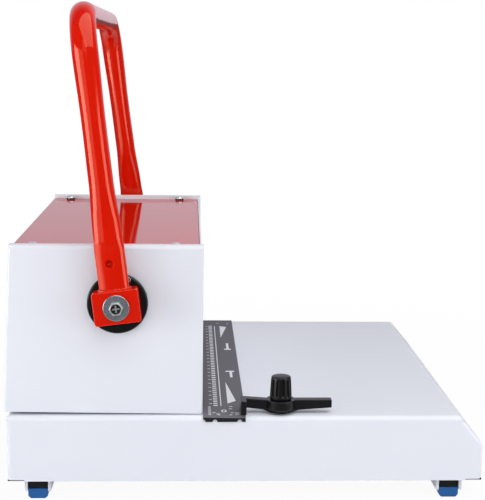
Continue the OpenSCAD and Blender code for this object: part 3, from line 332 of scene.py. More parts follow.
# also put on the upright sides of the cover screw heads as painted shade
black_oxide_and_shade = metal("black_oxide_steel", "#3A3B3E", "#2B2C2F", 0.42, 2.0)
bronze = metal("sintered_bronze", "#B58B4C", "#8E6B38", 0.40, 0.8)
print("metals:", [m.name for m in (tool_steel, zinc, bright_zinc, tarnished, black_oxide_and_shade, bronze)])

# %% [markdown]
# The scale plate is dark grey anodised aluminium: a fine even etch that scatters light softly. White
# screen-printing ink lies on it as a thin matt film.

# %% Scale plate and ink
anodised, tree, shader, place = new_finish("dark_anodised_aluminium", "#6C6A70", 0.7, Specular_IOR_Level=0.04)
etch = add_node(tree, "TexNoise", {"Vector": place, "Scale": per_mm(1.0), "Detail": 4.0})
tone = add_node(tree, "MixRGB", {0: etch.outputs["Fac"], 1: linear("#656369"), 2: linear("#737177")})
tree.links.new(tone.outputs[0], shader.inputs["Base Color"])
bump = add_node(tree, "Bump", {"Height": etch.outputs["Fac"], "Strength": 0.08, "Distance": 0.0001})
tree.links.new(bump.outputs[0], shader.inputs["Normal"])

white_ink, tree, shader, place = new_finish("white_printing_ink", "#E2E2E6", 0.6)
speck = add_node(tree, "TexNoise", {"Vector": place, "Scale": per_mm(0.8), "Detail": 3.0})
tone = add_node(tree, "MixRGB", {0: speck.outputs["Fac"], 1: linear("#CFCFD4"), 2: linear("#EDEDF0")})
tree.links.new(tone.outputs[0], shader.inputs["Base Color"])
print("finishes:", len(bpy.data.materials))

# %% [markdown]
# ## Finishes on the solids
# Most of the mechanism is plain machined steel, so its solids stay as they are and only get their metal.
# It could all be drawn again, but a ground plate or a pin already looks as its solid does. Every solid
# gets its finish here, also one that a softer copy stands for later.

# %% Paint the frame
paint = {
    tool_steel: ["die_plate", "pin_guide", "back_stop", "side_frame_left", "side_frame_right", "tie_bars",
                 "guide_rods", "return_springs", "tray_runners", "main_shaft", "cam_left", "cam_right",
                 "press_beam", "yoke_left", "yoke_right", "pin_retainer", "punch_pins"],
    zinc: ["bottom_screws", "foot_screws", "frame_feet_bolts", "standoffs", "standoff_screws", "cover_screws",
           "shell_screws", "flange_screws", "handle_washers", "handle_bolts", "guide_bolt", "cam_keys"],
    black_oxide_and_shade: ["frame_bolts", "yoke_screws", "retainer_screws"],
    bronze: ["beam_bushes"],
    white_coat: ["base_shell", "foot_brackets", "end_panel_left", "end_panel_right", "front_panel", "rear_panel"],
    red_enamel: ["handle_tube", "clamp_block_left", "clamp_block_right"],
    red_sheet: ["top_cover"],
    # bottom plate black, partly as painted shade in the gap under the base
    black_coat_and_shade: ["bottom_plate"],
    anodised: ["scale_plate"],
    black_nylon: ["guide_bar", "guide_knob", "chip_tray"],
    black_acetal: ["bush_left", "bush_right"],
    black_rubber: ["foot_blocks"],
    blue_rubber: ["foot_pads"],
}
for finish, names in paint.items():
    for name in names:
        nodes[name].data.materials.clear()
        nodes[name].data.materials.append(finish)
print("painted:", sum(len(names) for names in paint.values()), "of", len(nodes))

# %% [markdown]
# ## Working on copies of the solids
# Bent sheet, cast blocks and moulded plastic have soft edges that plain solids lack. Each such solid is
# copied, its loose triangles are merged and its flat faces joined, and then chosen edges are rounded with
# the bevel tool. Large faces are first cut at a few planes, so that no face has a hole in it. Edges are
# picked by how sharply they fold and by where they lie, as a person would pick them by eye. The shapes
# could be drawn again from plates, but a copy keeps every fold and hole where it is. The copy then
# stands for the solid.

# %% Helpers for edit mode
def pick(*pieces):
    """Selects only these objects; the first becomes active."""
    bpy.ops.object.select_all(action="DESELECT")
    for piece in pieces:
        piece.select_set(True)
    bpy.context.view_layer.objects.active = pieces[0]


def enter(piece):
    """Starts edit mode on one piece with everything selected."""
    pick(piece)
    bpy.ops.object.mode_set(mode="EDIT")
    bpy.ops.mesh.select_mode(type="VERT")
    bpy.ops.mesh.select_all(action="SELECT")


def leave():
    """Ends edit mode and returns the piece."""
    bpy.ops.object.mode_set(mode="OBJECT")
    return bpy.context.object


# %% Copying a solid
def copy_of(node, name, **cuts):
    """A copy of a CAD solid with its own mesh, merged and with flat faces joined.

    Cuts such as z=[66] are planes, in mm, where flat faces stay parted. They run through holes, so that no
    face has a hole in it, and close to the ends of folds, so that a bevel keeps its width up to there.
    """
    piece = bpy.data.objects.new(name, nodes[node].data.copy())
    scene.collection.objects.link(piece)
    piece.data.name = name
    piece.data.materials.clear()
    enter(piece)
    bpy.ops.mesh.remove_doubles(threshold=0.002 * MM)
    bpy.ops.mesh.customdata_custom_splitnormals_clear()
    for axis, spots in cuts.items():
        across = Vector([float(axis == letter) for letter in "xyz"])
        for spot in spots:
            bpy.ops.mesh.select_all(action="SELECT")
            bpy.ops.mesh.bisect(plane_co=across * spot * MM, plane_no=across, threshold=0.002 * MM)
            bpy.ops.mesh.mark_seam()
    bpy.ops.mesh.select_all(action="SELECT")
    bpy.ops.mesh.dissolve_limited(angle_limit=math.radians(0.5), delimit={"SEAM"})
    return leave()


# %% Rounding edges
def round_edges(piece, radius, steps=3, where=None, fold=35, hollows=True):
    """Rounds the edges that fold by more than so many degrees and pass the test on their ends in mm.

    Without hollows, only edges that stand out are rounded, not inner corners.
    """
    enter(piece)
    bpy.ops.mesh.select_mode(type="EDGE")
    bpy.ops.mesh.select_all(action="DESELECT")
    mesh = bmesh.from_edit_mesh(piece.data)
    chosen = 0
    for edge in mesh.edges:
        bend = edge.calc_face_angle_signed(0.0)
        if max(bend, -bend if hollows else 0.0) > math.radians(fold):
            ends = [v.co / MM for v in edge.verts]
            if where is None or where(*ends):
                edge.select_set(True)
                chosen += 1
    bmesh.update_edit_mesh(piece.data)
    bpy.ops.mesh.bevel(offset=radius * MM, offset_type="OFFSET", segments=steps, profile=0.5, affect="EDGES",
                       clamp_overlap=False)
    leave()
    return chosen


# %% Finishing a piece
def dress(piece, finish, body, slot, *stands_for, smooth=38):
    """Shades a finished piece, paints it, and says what it rides on and stands for."""
    pick(piece)
    bpy.ops.object.shade_smooth_by_angle(angle=math.radians(smooth))
    flats = piece.modifiers.new("keep_flats_flat", "WEIGHTED_NORMAL")
    flats.keep_sharp = True
    bpy.ops.object.modifier_apply(modifier=flats.name)
    if not piece.data.materials:
        piece.data.materials.append(finish)
    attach(piece, body)
    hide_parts(*stands_for)
    print(piece.name, "faces:", len(piece.data.polygons))
    return piece


# %% [markdown]
# ## Base
# The base is one folded sheet. The folds at the four corners, along the knee and along the slope are
# about 3 mm outside; the cut edges of the sheet are only broken, 0.25 mm. A bevel modifier could round
# them all at once, but it would give folds and cut edges one radius, so each kind has its own pass.

# %% Base shell
low, high = (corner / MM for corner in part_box("base_shell"))
slope_run, skin = 25, 0.05  # depth of the sloping front, and how close to the outside counts as on it, in mm
fold_r, cut_edge_r = 3.2, 0.25
side_y = high.y - skin


def outer_fold(a, b):
    """True for the outer folds: upright corners, knee, both ends of the slope and rear top edge."""
    at_end = min(a.x, b.x) > high.x - slope_run or max(a.x, b.x) < low.x + skin
    corner = min(abs(a.y), abs(b.y)) > side_y and abs(a.z - b.z) > 0.3 * (a - b).length
    across = abs(a.y - b.y) > 0.99 * (a - b).length
    on_skin = min(a.z, b.z) > high.z - skin or min(a.x, b.x) > high.x - skin
    return at_end and (corner or across and on_skin)


base = copy_of("base_shell", "base_sheet", y=[-172, -147, -130, 0, 130, 172], z=[66])
print("outer folds:", round_edges(base, fold_r, 6, outer_fold, hollows=False))
print("cut edges:", round_edges(base, cut_edge_r, 2, fold=50, hollows=False))
dress(base, white_coat, "chassis", "white_paint", "base_shell")

# %% [markdown]
# ## Housing
# The end panels carry raised lips with a rounded top. Their upright corners are folded sheet again. One
# panel could be rounded and mirrored, but each copies its own solid, so both surely fit their screws.

# %% End panels
low, high = (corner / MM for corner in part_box("end_panel_left"))
corner_r, lip_edge_r, behind = 1.8, 0.3, 150  # in mm; only the rear corners lie further back than the last


def panel_fold(a, b):
    """True for the two upright outer corners of an end panel."""
    at_end = min(a.x, b.x) > high.x - skin or max(a.x, b.x) < high.x - behind
    return at_end and min(abs(a.y), abs(b.y)) > -low.y - skin and abs(a.z - b.z) > 0.9 * (a - b).length


for side in ("left", "right"):
    panel = copy_of("end_panel_" + side, "housing_end_" + side,
                    x=[-177, -59], z=[105.2, 128, 169, 183, 188.9, 211])
    print("corners:", round_edges(panel, corner_r, 4, panel_fold, hollows=False))
    round_edges(panel, lip_edge_r, 2, fold=50, hollows=False)
    dress(panel, white_coat, "chassis", "white_paint", "end_panel_" + side)

# %% [markdown]
# The front and rear sheets and the red cover are plain sheets, so one small radius on all their sharp
# edges is enough.

# %% Front and rear sheets, and the red cover
sheet_edge_r = 0.35
for node, name, finish, slot in (
    ("front_panel", "housing_front", white_coat, "white_paint"),
    ("rear_panel", "housing_rear", white_coat, "white_paint"),
    ("top_cover", "red_cover", red_sheet, "red_paint"),
):
    sheet_piece = copy_of(node, name)
    round_edges(sheet_piece, sheet_edge_r, 3, fold=50)
    dress(sheet_piece, finish, "chassis", slot, node)

# %% [markdown]
# Seen from behind, the glossy cover would mirror the side lamps as large white patches. The lamps could
# be moved, but then the bands on the handle would move too, so light linking keeps them off the cover.

# %% Keep the side lamps off the cover
unlit = bpy.data.collections.new("kept_from_side_lamps")
unlit.objects.link(bpy.data.objects["red_cover"])
unlit.collection_objects[0].light_linking.link_state = "EXCLUDE"
side_lamps = ("left_softbox", "left_fill", "right_softbox")
for name in side_lamps:
    bpy.data.objects[name].light_linking.receiver_collection = unlit
print("kept off the cover:", side_lamps)

# %% [markdown]
# ## Feet
# White bent brackets hold a rubber block with a blue wear pad under it. The block is black as painted
# shade: the base above puts the upper foot in shadow. One foot could be made and copied, but the frame
# keeps all brackets in one piece, and so with the blocks and the pads, so each kind is rounded together.

# %% Feet
for node, name, finish, slot, radius in (
    ("foot_brackets", "feet_brackets", white_coat, "white_paint", 0.7),
    # the block's black is painted shade from the base above it
    ("foot_blocks", "feet_rubber", black_rubber, "black_rubber", 0.5),
    ("foot_pads", "feet_wear_pads", blue_rubber, "blue_pad", 0.7),
):
    foot_piece = copy_of(node, name)
    round_edges(foot_piece, radius, 3, fold=30)
    dress(foot_piece, finish, "chassis", slot, node)

# %% [markdown]
# ## Handle
# The handle is one steel tube, bent to a U. Its ends were pressed flat before they were welded to the
# clamp blocks, so the round tube widens slowly on its way down. Half of it is drawn: a ring is extruded
# up the leg, scaled at each stop, spun round the bend and pulled to the middle. Bending squeezes a tube,
# so it is a little wider at the bend and slimmer below it. A mirror modifier makes the other half, and
# then the whole is leaned back about the shaft. A curve with a round bevel would be quicker, but it
# couldn't be pressed flat at its ends.

# %% Handle measures
flange_low, flange_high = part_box("bush_left")
block_low, block_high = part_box("clamp_block_left")
shaft_x = (flange_low.x + flange_high.x) / 2
shaft_z = (flange_low.z + flange_high.z) / 2
leg_y = (block_low.y + block_high.y) / 2
lean = math.radians(7)
inward = math.radians(5.5)
# in mm: tube radius, height where the leg turns inwards, height of the bar's middle and radius of the bend
tube_r, kink, reach, bend_r = 9.97, 52.0, 235.97, 36.0
turn_stops = (49, 52, 55)
ring_points, bend_steps = 64, 22
# height above the shaft, half width and half thickness of the tube, in mm
stops = [(12, 12.3, 6.0), (24, 12.3, 6.0), (36, 12.3, 6.0), (42, 12.3, 6.05), (46, 12.3, 6.15), (49, 12.25, 6.35),
         (52, 11.95, 6.8), (55, 11.8, 7.0), (61, 11.7, 7.15), (70, 11.45, 7.5), (76, 11.1, 8.1), (82, 10.75, 8.7),
         (90, 10.3, 9.4), (98, tube_r, tube_r)]
# half widths above that, every 8 mm up to the bend, then in the bend, and in equal steps along the bar
waist = [9.95, 9.9, 9.83, 9.77, 9.74, 9.75, 9.79, 9.88, 10.03, 10.24, 10.45, 10.62]
waist_step, bend_half = 8, 10.72
bar_halves = (10.5, 10.15, tube_r, tube_r, tube_r, tube_r)
print("shaft in mm:", round(shaft_x / MM, 2), round(shaft_z / MM, 2), "leg at:", round(leg_y / MM, 2))


def leg_point(height):
    """Middle of the leg at a height above the shaft, before the handle is leaned back."""
    drift = max(0.0, height - kink) * math.tan(inward) * MM
    return Vector((shaft_x, leg_y + drift, shaft_z + height * MM))


def select_where(piece, test):
    """Selects the vertices of a piece in edit mode whose place passes a test."""
    mesh = bmesh.from_edit_mesh(piece.data)
    for vert in mesh.verts:
        vert.select_set(test(vert.co))
    mesh.select_flush_mode()
    bmesh.update_edit_mesh(piece.data)


# %% Handle tube, one half
bpy.ops.object.select_all(action="DESELECT")
here, shape = leg_point(stops[0][0]), (tube_r, tube_r)
bpy.ops.mesh.primitive_circle_add(vertices=ring_points, radius=tube_r * MM, location=here,
                                  rotation=(0, 0, math.pi / ring_points), fill_type="NGON")
tube = bpy.context.object
tube.name = tube.data.name = "handle_bent_tube"
bpy.ops.object.transform_apply(location=True, rotation=True, scale=True)
enter(tube)
for height, *new_shape in stops:
    there = leg_point(height)
    if there != here:
        bpy.ops.mesh.extrude_region_move(TRANSFORM_OT_translate={"value": there - here})
    if height in turn_stops:
        bpy.ops.transform.rotate(value=inward / len(turn_stops), orient_axis="X", center_override=there)
    bpy.ops.transform.resize(value=(new_shape[0] / shape[0], new_shape[1] / shape[1], 1), center_override=there)
    here, shape = there, new_shape
print("leg stops:", len(stops))

# %% Handle tube, waist, bend and bar
bend_start = reach - bend_r + bend_r * math.sin(inward)
half = tube_r
upper_stops = [(stops[-1][0] + waist_step * (i + 1), new_half) for i, new_half in enumerate(waist)]
for height, new_half in upper_stops + [(bend_start, bend_half)]:
    there = leg_point(height)
    bpy.ops.mesh.extrude_region_move(TRANSFORM_OT_translate={"value": there - here})
    bpy.ops.transform.resize(value=(new_half / half, 1, 1), center_override=there)
    here, half = there, new_half
bend_middle = here + Vector((0, math.cos(inward), -math.sin(inward))) * bend_r * MM
bpy.ops.mesh.spin(steps=bend_steps, angle=math.pi / 2 - inward, center=bend_middle, axis=(1, 0, 0))
bar_step = -bend_middle.y / len(bar_halves)
for new_half in bar_halves:
    bpy.ops.mesh.extrude_region_move(TRANSFORM_OT_translate={"value": (0, bar_step, 0)})
    bpy.ops.transform.resize(value=(new_half / half, 1, 1), center_override=here)
    half = new_half
bpy.ops.mesh.delete(type="ONLY_FACE")
leave()
print("half tube faces:", len(tube.data.polygons))

# %% Handle tube, both halves
def mirror_across(piece):
    """Adds the mirror image of a piece on the other side of the machine."""
    pick(piece)
    halves = piece.modifiers.new("other_half", "MIRROR")
    halves.use_axis = (False, True, False)
    halves.merge_threshold = 0.02 * MM
    bpy.ops.object.modifier_apply(modifier=halves.name)


def close_ends(piece, merge_mm):
    """Merges doubled points, closes open ends and turns all faces outwards."""
    enter(piece)
    bpy.ops.mesh.remove_doubles(threshold=merge_mm * MM)
    bpy.ops.mesh.select_all(action="DESELECT")
    bpy.ops.mesh.select_non_manifold()
    bpy.ops.mesh.fill_holes(sides=0)
    bpy.ops.mesh.select_all(action="SELECT")
    bpy.ops.mesh.normals_make_consistent(inside=False)
    leave()


mirror_across(tube)
close_ends(tube, 0.01)
print("tube faces:", len(tube.data.polygons))

# %% [markdown]
# A punch mark sits on the flat of each leg, perhaps where a jig held the tube. It is cut with a
# stretched ball, and its rim is then rounded. It could be painted on as bump, but then its edge would not
# catch the light from the side.

# %% Punch marks
def carve(piece, tool):
    """Cuts the shape of a tool out of a piece and takes the tool away."""
    pick(piece)
    cut = piece.modifiers.new("cut", "BOOLEAN")
    cut.operation, cut.object, cut.solver = "DIFFERENCE", tool, "EXACT"
    bpy.ops.object.modifier_apply(modifier=cut.name)
    bpy.data.objects.remove(tool, do_unlink=True)


def mark_rim(a, b):
    """True for the edges round a punch mark."""
    return all(abs(p.x - shaft_x / MM) < 6 and abs(p.z - shaft_z / MM - mark_height) < 5 for p in (a, b))


ball_r, mark_stretch, mark_depth, mark_height, mark_shift, rim_r = 3.5, 1.5, 4.2, 36.0, 1.2, 0.4
for side in (-1, 1):
    away = stops[0][2] + ball_r * mark_stretch - mark_depth
    mark = Vector((shaft_x - mark_shift * MM, side * (abs(leg_y) + away * MM), shaft_z + mark_height * MM))
    bpy.ops.object.select_all(action="DESELECT")
    bpy.ops.mesh.primitive_uv_sphere_add(segments=32, ring_count=18, radius=ball_r * MM, location=mark)
    ball = bpy.context.object
    ball.scale.y = mark_stretch
    bpy.ops.object.transform_apply(location=True, rotation=True, scale=True)
    carve(tube, ball)
print("rim edges:", round_edges(tube, rim_r, 4, mark_rim, fold=25, hollows=False))

# %% Lean the tube back
def lean_back(piece):
    """Turns a piece about the shaft, from upright to the handle's rest."""
    enter(piece)
    bpy.ops.transform.rotate(value=lean, orient_axis="Y", center_override=(shaft_x, 0, shaft_z))
    leave()


lean_back(tube)
top = max((v.co for v in tube.data.vertices), key=lambda p: p.z)
print("grip top in mm:", [round(c / MM, 1) for c in top])
dress(tube, red_enamel, "handle", "red_paint", "handle_tube", smooth=50)

# %% [markdown]
# ## Clamp blocks, flanges and washers
# The handle's legs end in cast blocks that sit on the shaft, each beside a turned flange and a washer. The
# blocks' edges are soft from casting and paint, and the turned pieces have only a small chamfer. Each
# is a rounded copy of its solid, because its bore has to stay where the shaft is.

# %% Clamp blocks
block_edge_r = 1.0
for side in ("left", "right"):
    block = copy_of("clamp_block_" + side, "handle_clamp_" + side, z=[shaft_z / MM])
    round_edges(block, block_edge_r, 4, fold=50, hollows=False)
    dress(block, red_enamel, "handle", "red_paint", "clamp_block_" + side)

# %% Flanges and washers
flange_edge_r, washer_edge_r = 0.4, 0.7
for side in ("left", "right"):
    flange = copy_of("bush_" + side, "bearing_flange_" + side)
    round_edges(flange, flange_edge_r, 2, fold=40)
    dress(flange, black_acetal, "chassis", "black_plastic", "bush_" + side)
washers = copy_of("handle_washers", "shaft_washers")
round_edges(washers, washer_edge_r, 4, fold=40)
dress(washers, zinc, "handle", "zinc", "handle_washers")

# %% [markdown]
# The bolt heads are dished almost to their edge and have a cross in the dish. The dish is widened about the
# shaft's axis first. Then the outer rim is rounded, and the floor of the dish gets a tarnished finish, which
# is never as bright as the rim. A dark ring in one material could stand for the dish, but two finishes on
# real faces stay right from every side.

# %% Shaft bolts
bolts = copy_of("handle_bolts", "shaft_bolts", z=[shaft_z / MM])
rim_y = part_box("handle_bolts")[1].y
dish_r, widen, dish_zone, rim_edge_r = 3.7 * MM, 1.16, 3 * MM, 0.62


def off_axis(p):
    """Distance of a point from the shaft's axis."""
    return math.hypot(p.x - shaft_x, p.z - shaft_z)


def outer_rim(a, b):
    """True for the edges of a bolt's face that lie outside the dish."""
    return (min(abs(a.y), abs(b.y)) > rim_y / MM - skin
            and min(off_axis(a * MM), off_axis(b * MM)) > dish_r * widen + 0.2 * MM)


enter(bolts)
select_where(bolts, lambda p: off_axis(p) < dish_r and rim_y - abs(p.y) < dish_zone)
bpy.ops.transform.resize(value=(widen, 1, widen), center_override=(shaft_x, 0, shaft_z))
leave()
print("rim edges:", round_edges(bolts, rim_edge_r, 4, outer_rim, hollows=False))
bolts.data.materials.append(bright_zinc)
bolts.data.materials.append(tarnished)
for face in bolts.data.polygons:
    depth = rim_y - abs(face.center.y)
    face.material_index = 1 if off_axis(face.center) < dish_r * widen and 0.3 * MM < depth < 1.5 * MM else 0
dress(bolts, bright_zinc, "handle", "zinc", "handle_bolts")

# %% [markdown]
# Small screws hold each flange. Only the outer edge of a head is rounded, because the rest of the screw is
# hidden behind it. New heads could be made, but a rounded copy is enough at this size.

# %% Flange screws
flange_face, screw_edge_r = abs(flange_low.y) / MM, 0.55
flange_heads = copy_of("flange_screws", "flange_screw_heads")
round_edges(flange_heads, screw_edge_r, 4, lambda a, b: min(abs(a.y), abs(b.y)) > flange_face - 0.2, fold=50)
dress(flange_heads, zinc, "chassis", "zinc", "flange_screws")

# %% [markdown]
# ## Welds
# Each leg end is welded to its clamp block. The bead is a ring squeezed to the oval of the tube, and
# every third row of it is pulled in, which leaves the little steps of a hand-laid weld. It could be
# sculpted, but at this size the steps are all that shows.

# %% Weld beads
bead_mm, weld_height, weld_gap, row_dip = 1.4, 13.9, 0.2, 0.55
bead_rows, bead_sides, rows_a_step = 54, 10, 3
weld_at = leg_point(weld_height)
bpy.ops.object.select_all(action="DESELECT")
bpy.ops.mesh.primitive_torus_add(location=weld_at, major_radius=tube_r * MM, minor_radius=bead_mm * MM,
                                 major_segments=bead_rows, minor_segments=bead_sides)
welds = bpy.context.object
welds.name = welds.data.name = "handle_welds"
bpy.ops.object.transform_apply(location=True, rotation=True, scale=True)
enter(welds)
wide, thick = stops[0][1] + weld_gap, stops[0][2] + weld_gap
bpy.ops.transform.resize(value=(wide / tube_r, thick / tube_r, 1), center_override=weld_at)
mesh = bmesh.from_edit_mesh(welds.data)
for i, vert in enumerate(mesh.verts):
    vert.select_set((i // bead_sides) % rows_a_step == 0)
mesh.select_flush_mode()
bmesh.update_edit_mesh(welds.data)
bpy.ops.transform.shrink_fatten(value=-row_dip * MM)
leave()
mirror_across(welds)
enter(welds)
bpy.ops.mesh.normals_make_consistent(inside=False)
leave()
lean_back(welds)
dress(welds, red_enamel, "handle", "red_paint", smooth=70)

# %% [markdown]
# ## Edge guide and tray
# Both are black mouldings with soft edges. They could be drawn again as shells, but copies of their solids
# still fit, the guide on its bolt and the drawer on its runners.

# %% Edge guide arm and chip drawer
leg_top_z, leg_x, bolt_y = 84, 1, -167


def off_leg_top(a, b):
    """False for the edge on top of the guide's leg, where the arm runs into it."""
    return min(a.z, b.z) < leg_top_z or max(abs(a.x), abs(b.x)) > leg_x


for node, name, body, radius in (("guide_bar", "edge_guide_arm", "edge_guide", 0.7),
                                 ("chip_tray", "chip_drawer", "tray", 0.5)):
    part = copy_of(node, name, y=[bolt_y])
    round_edges(part, radius, 3, off_leg_top, fold=40, hollows=False)
    dress(part, black_nylon, body, "black_plastic", node)

# %% [markdown]
# ## Clamp knob
# A moulded knob: a rounded foot, a grip that tapers a little upwards, and a flat top with a slight crown.
# One ring is extruded through these stops. Then every second group of side faces is inset and sunk, and
# the lower end of each flute is lifted, so that it runs out in a slope above the foot. The flutes could be
# cut with twelve rods, but insets keep the faces even.

# %% Knob body
low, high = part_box("guide_knob")
knob_x, knob_y, knob_z = (low.x + high.x) / 2, (low.y + high.y) / 2, low.z
flutes, per_flute = 12, 8
# height above the foot and radius, in mm
knob_stops = [(0.0, 8.9), (0.5, 9.2), (1.7, 9.25), (2.6, 9.2), (4.0, 9.1), (7.0, 9.0), (11.0, 8.8), (15.0, 8.55),
              (18.0, 8.35), (19.2, 8.1), (19.8, 7.6), (20.1, 6.9), (20.35, 4.8), (20.45, 2.4)]
knob_stretch = (high.z - low.z) / (knob_stops[-1][0] * MM)
bpy.ops.object.select_all(action="DESELECT")
bpy.ops.mesh.primitive_circle_add(vertices=flutes * per_flute, radius=knob_stops[0][1] * MM,
                                  location=(knob_x, knob_y, knob_z), fill_type="NGON")
knob = bpy.context.object
knob.name = knob.data.name = "clamp_knob"
bpy.ops.object.transform_apply(location=True, rotation=True, scale=True)
enter(knob)
for (h0, r0), (h1, r1) in zip(knob_stops, knob_stops[1:]):
    rise = (h1 - h0) * knob_stretch * MM
    bpy.ops.mesh.extrude_region_move(TRANSFORM_OT_translate={"value": (0, 0, rise)})
    bpy.ops.transform.resize(value=(r1 / r0, r1 / r0, 1), center_override=(knob_x, knob_y, knob_z))
bpy.ops.mesh.select_all(action="SELECT")
bpy.ops.mesh.normals_make_consistent(inside=False)
leave()
print("knob rings:", len(knob_stops), "points in each:", flutes * per_flute)

# %% Knob flutes
flute_from, flute_to = 2.7 * knob_stretch, 17.9 * knob_stretch
flute_wall, flute_depth, flute_lift, flute_edge_r = 0.35, 1.3, 0.8, 0.18
enter(knob)
bpy.ops.mesh.select_mode(type="FACE")
bpy.ops.mesh.select_all(action="DESELECT")
mesh = bmesh.from_edit_mesh(knob.data)
for face in mesh.faces:
    middle = face.calc_center_median() - Vector((knob_x, knob_y, knob_z))
    turn = math.atan2(middle.y, middle.x) / (2 * math.pi) * flutes % 1
    face.select_set(flute_from < middle.z / MM < flute_to and turn < 0.5)
bmesh.update_edit_mesh(knob.data)
bpy.ops.mesh.inset(thickness=flute_wall * MM, depth=-flute_depth * MM, use_boundary=True)
mesh = bmesh.from_edit_mesh(knob.data)
floors = {vert for face in mesh.faces if face.select for vert in face.verts}
lowest = min(vert.co.z for vert in floors)
bpy.ops.mesh.select_mode(type="VERT")
bpy.ops.mesh.select_all(action="DESELECT")
for vert in floors:
    vert.select_set(vert.co.z < lowest + 0.2 * MM)
mesh.select_flush_mode()
bmesh.update_edit_mesh(knob.data)
bpy.ops.transform.translate(value=(0, 0, flute_lift * MM))
leave()
print("flute edges:", round_edges(knob, flute_edge_r, 2, fold=38))
dress(knob, black_nylon, "knob", "black_plastic", "guide_knob", smooth=45)

# %% [markdown]
# ## Cover screws
# Pan-head screws hold the cover down beside the lips. A disc is domed by four insets that also rise, and
# a cross is cut into it with two crossed bars. A half ball would be quicker than the insets, but a pan
# head is flatter than that. One screw is made, and each copy is turned differently, as a screwdriver
# leaves them.

# %% Pan-head screw
low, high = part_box("cover_screws")
head_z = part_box("top_cover")[1].z
head_r, rim_mm, under_head, shank_mm = 4.5 * MM, 1.6, 2.3, 5.4
dome = ((0.25, 0.9), (0.6, 0.85), (0.9, 0.6), (1.0, 0.25))  # inwards and up, in mm
bpy.ops.object.select_all(action="DESELECT")
bpy.ops.mesh.primitive_cylinder_add(vertices=40, radius=head_r, depth=rim_mm * MM,
                                    location=(0, 0, rim_mm / 2 * MM))
screw = bpy.context.object
screw.name = screw.data.name = "cover_pan_screws"
bpy.ops.object.transform_apply(location=True, rotation=True, scale=True)
enter(screw)
bpy.ops.mesh.select_mode(type="FACE")
bpy.ops.mesh.select_all(action="DESELECT")
mesh = bmesh.from_edit_mesh(screw.data)
max(mesh.faces, key=lambda f: f.calc_center_median().z).select_set(True)
bmesh.update_edit_mesh(screw.data)
for inward_mm, rise in dome:
    bpy.ops.mesh.inset(thickness=inward_mm * MM, depth=rise * MM)
bpy.ops.mesh.select_all(action="DESELECT")
mesh = bmesh.from_edit_mesh(screw.data)
min(mesh.faces, key=lambda f: f.calc_center_median().z).select_set(True)
bmesh.update_edit_mesh(screw.data)
bpy.ops.mesh.inset(thickness=under_head * MM)
bpy.ops.mesh.extrude_region_move(TRANSFORM_OT_translate={"value": (0, 0, -shank_mm * MM)})
leave()
print("screw faces:", len(screw.data.polygons))

# %% Cross slot
def cross_cut(piece, place, long_mm, wide_mm, deep_mm):
    """Cuts a tapered cross into a piece, down from a place."""
    for turn in (0, math.pi / 2):
        bpy.ops.object.select_all(action="DESELECT")
        bpy.ops.mesh.primitive_cube_add(size=1, location=(0, 0, 0))
        bar = bpy.context.object
        bar.scale = (long_mm * MM, wide_mm * MM, 2 * deep_mm * MM)
        bar.rotation_euler = (0, 0, turn)
        bpy.ops.object.transform_apply(location=True, rotation=True, scale=True)
        enter(bar)
        select_where(bar, lambda p: p.z < 0)
        bpy.ops.transform.resize(value=(0.45, 0.45, 1), center_override=(0, 0, 0))
        leave()
        bar.location = place
        bpy.ops.object.transform_apply(location=True, rotation=True, scale=True)
        carve(piece, bar)


cross_cut(screw, (0, 0, 4.2 * MM), 3.9, 1.0, 2.0)
print("faces with the cross:", len(screw.data.polygons))

# %% Four cover screws
def box_corners(low, high, inset, height):
    """Four places at one height, so far inside the corners of a box."""
    return [(x, y, height) for x in (low.x + inset, high.x - inset) for y in (low.y + inset, high.y - inset)]


def set_out(piece, places, turns):
    """Copies a piece to each place, turned about Z, and joins the copies into one."""
    copies = [piece]
    for _ in places[1:]:
        extra = bpy.data.objects.new(piece.name + "_copy", piece.data.copy())
        scene.collection.objects.link(extra)
        copies.append(extra)
    for one, place, turn in zip(copies, places, turns):
        one.location = place
        one.rotation_euler = (0, 0, turn)
    pick(*copies)
    bpy.ops.object.transform_apply(location=True, rotation=True, scale=True)
    bpy.ops.object.join()


set_out(screw, box_corners(low, high, head_r, head_z), (0.3, 1.1, 0.75, 0.1))
enter(screw)
bpy.ops.mesh.remove_doubles(threshold=0.002 * MM)
bpy.ops.mesh.dissolve_limited(angle_limit=math.radians(0.5))
leave()
round_edges(screw, 0.1, 2, fold=50, hollows=False)
screw.data.materials.append(bright_zinc)
screw.data.materials.append(black_oxide_and_shade)
# the upright sides of each head get the dark finish as painted shade, a dark ring round each bright top
for face in screw.data.polygons:
    face.material_index = 1 if abs(face.normal.z) < 0.3 and face.center.z < head_z + 2 * MM else 0
dress(screw, bright_zinc, "chassis", "zinc", "cover_screws")

# %% [markdown]
# ## Return springs
# Four springs on the guide rods lift the press. Each is a small circle of wire wound by a Screw
# modifier. A curve along a helix would do as well, but the modifier takes the climb and the number of
# turns as they are. When the handle comes down the springs are pressed together.

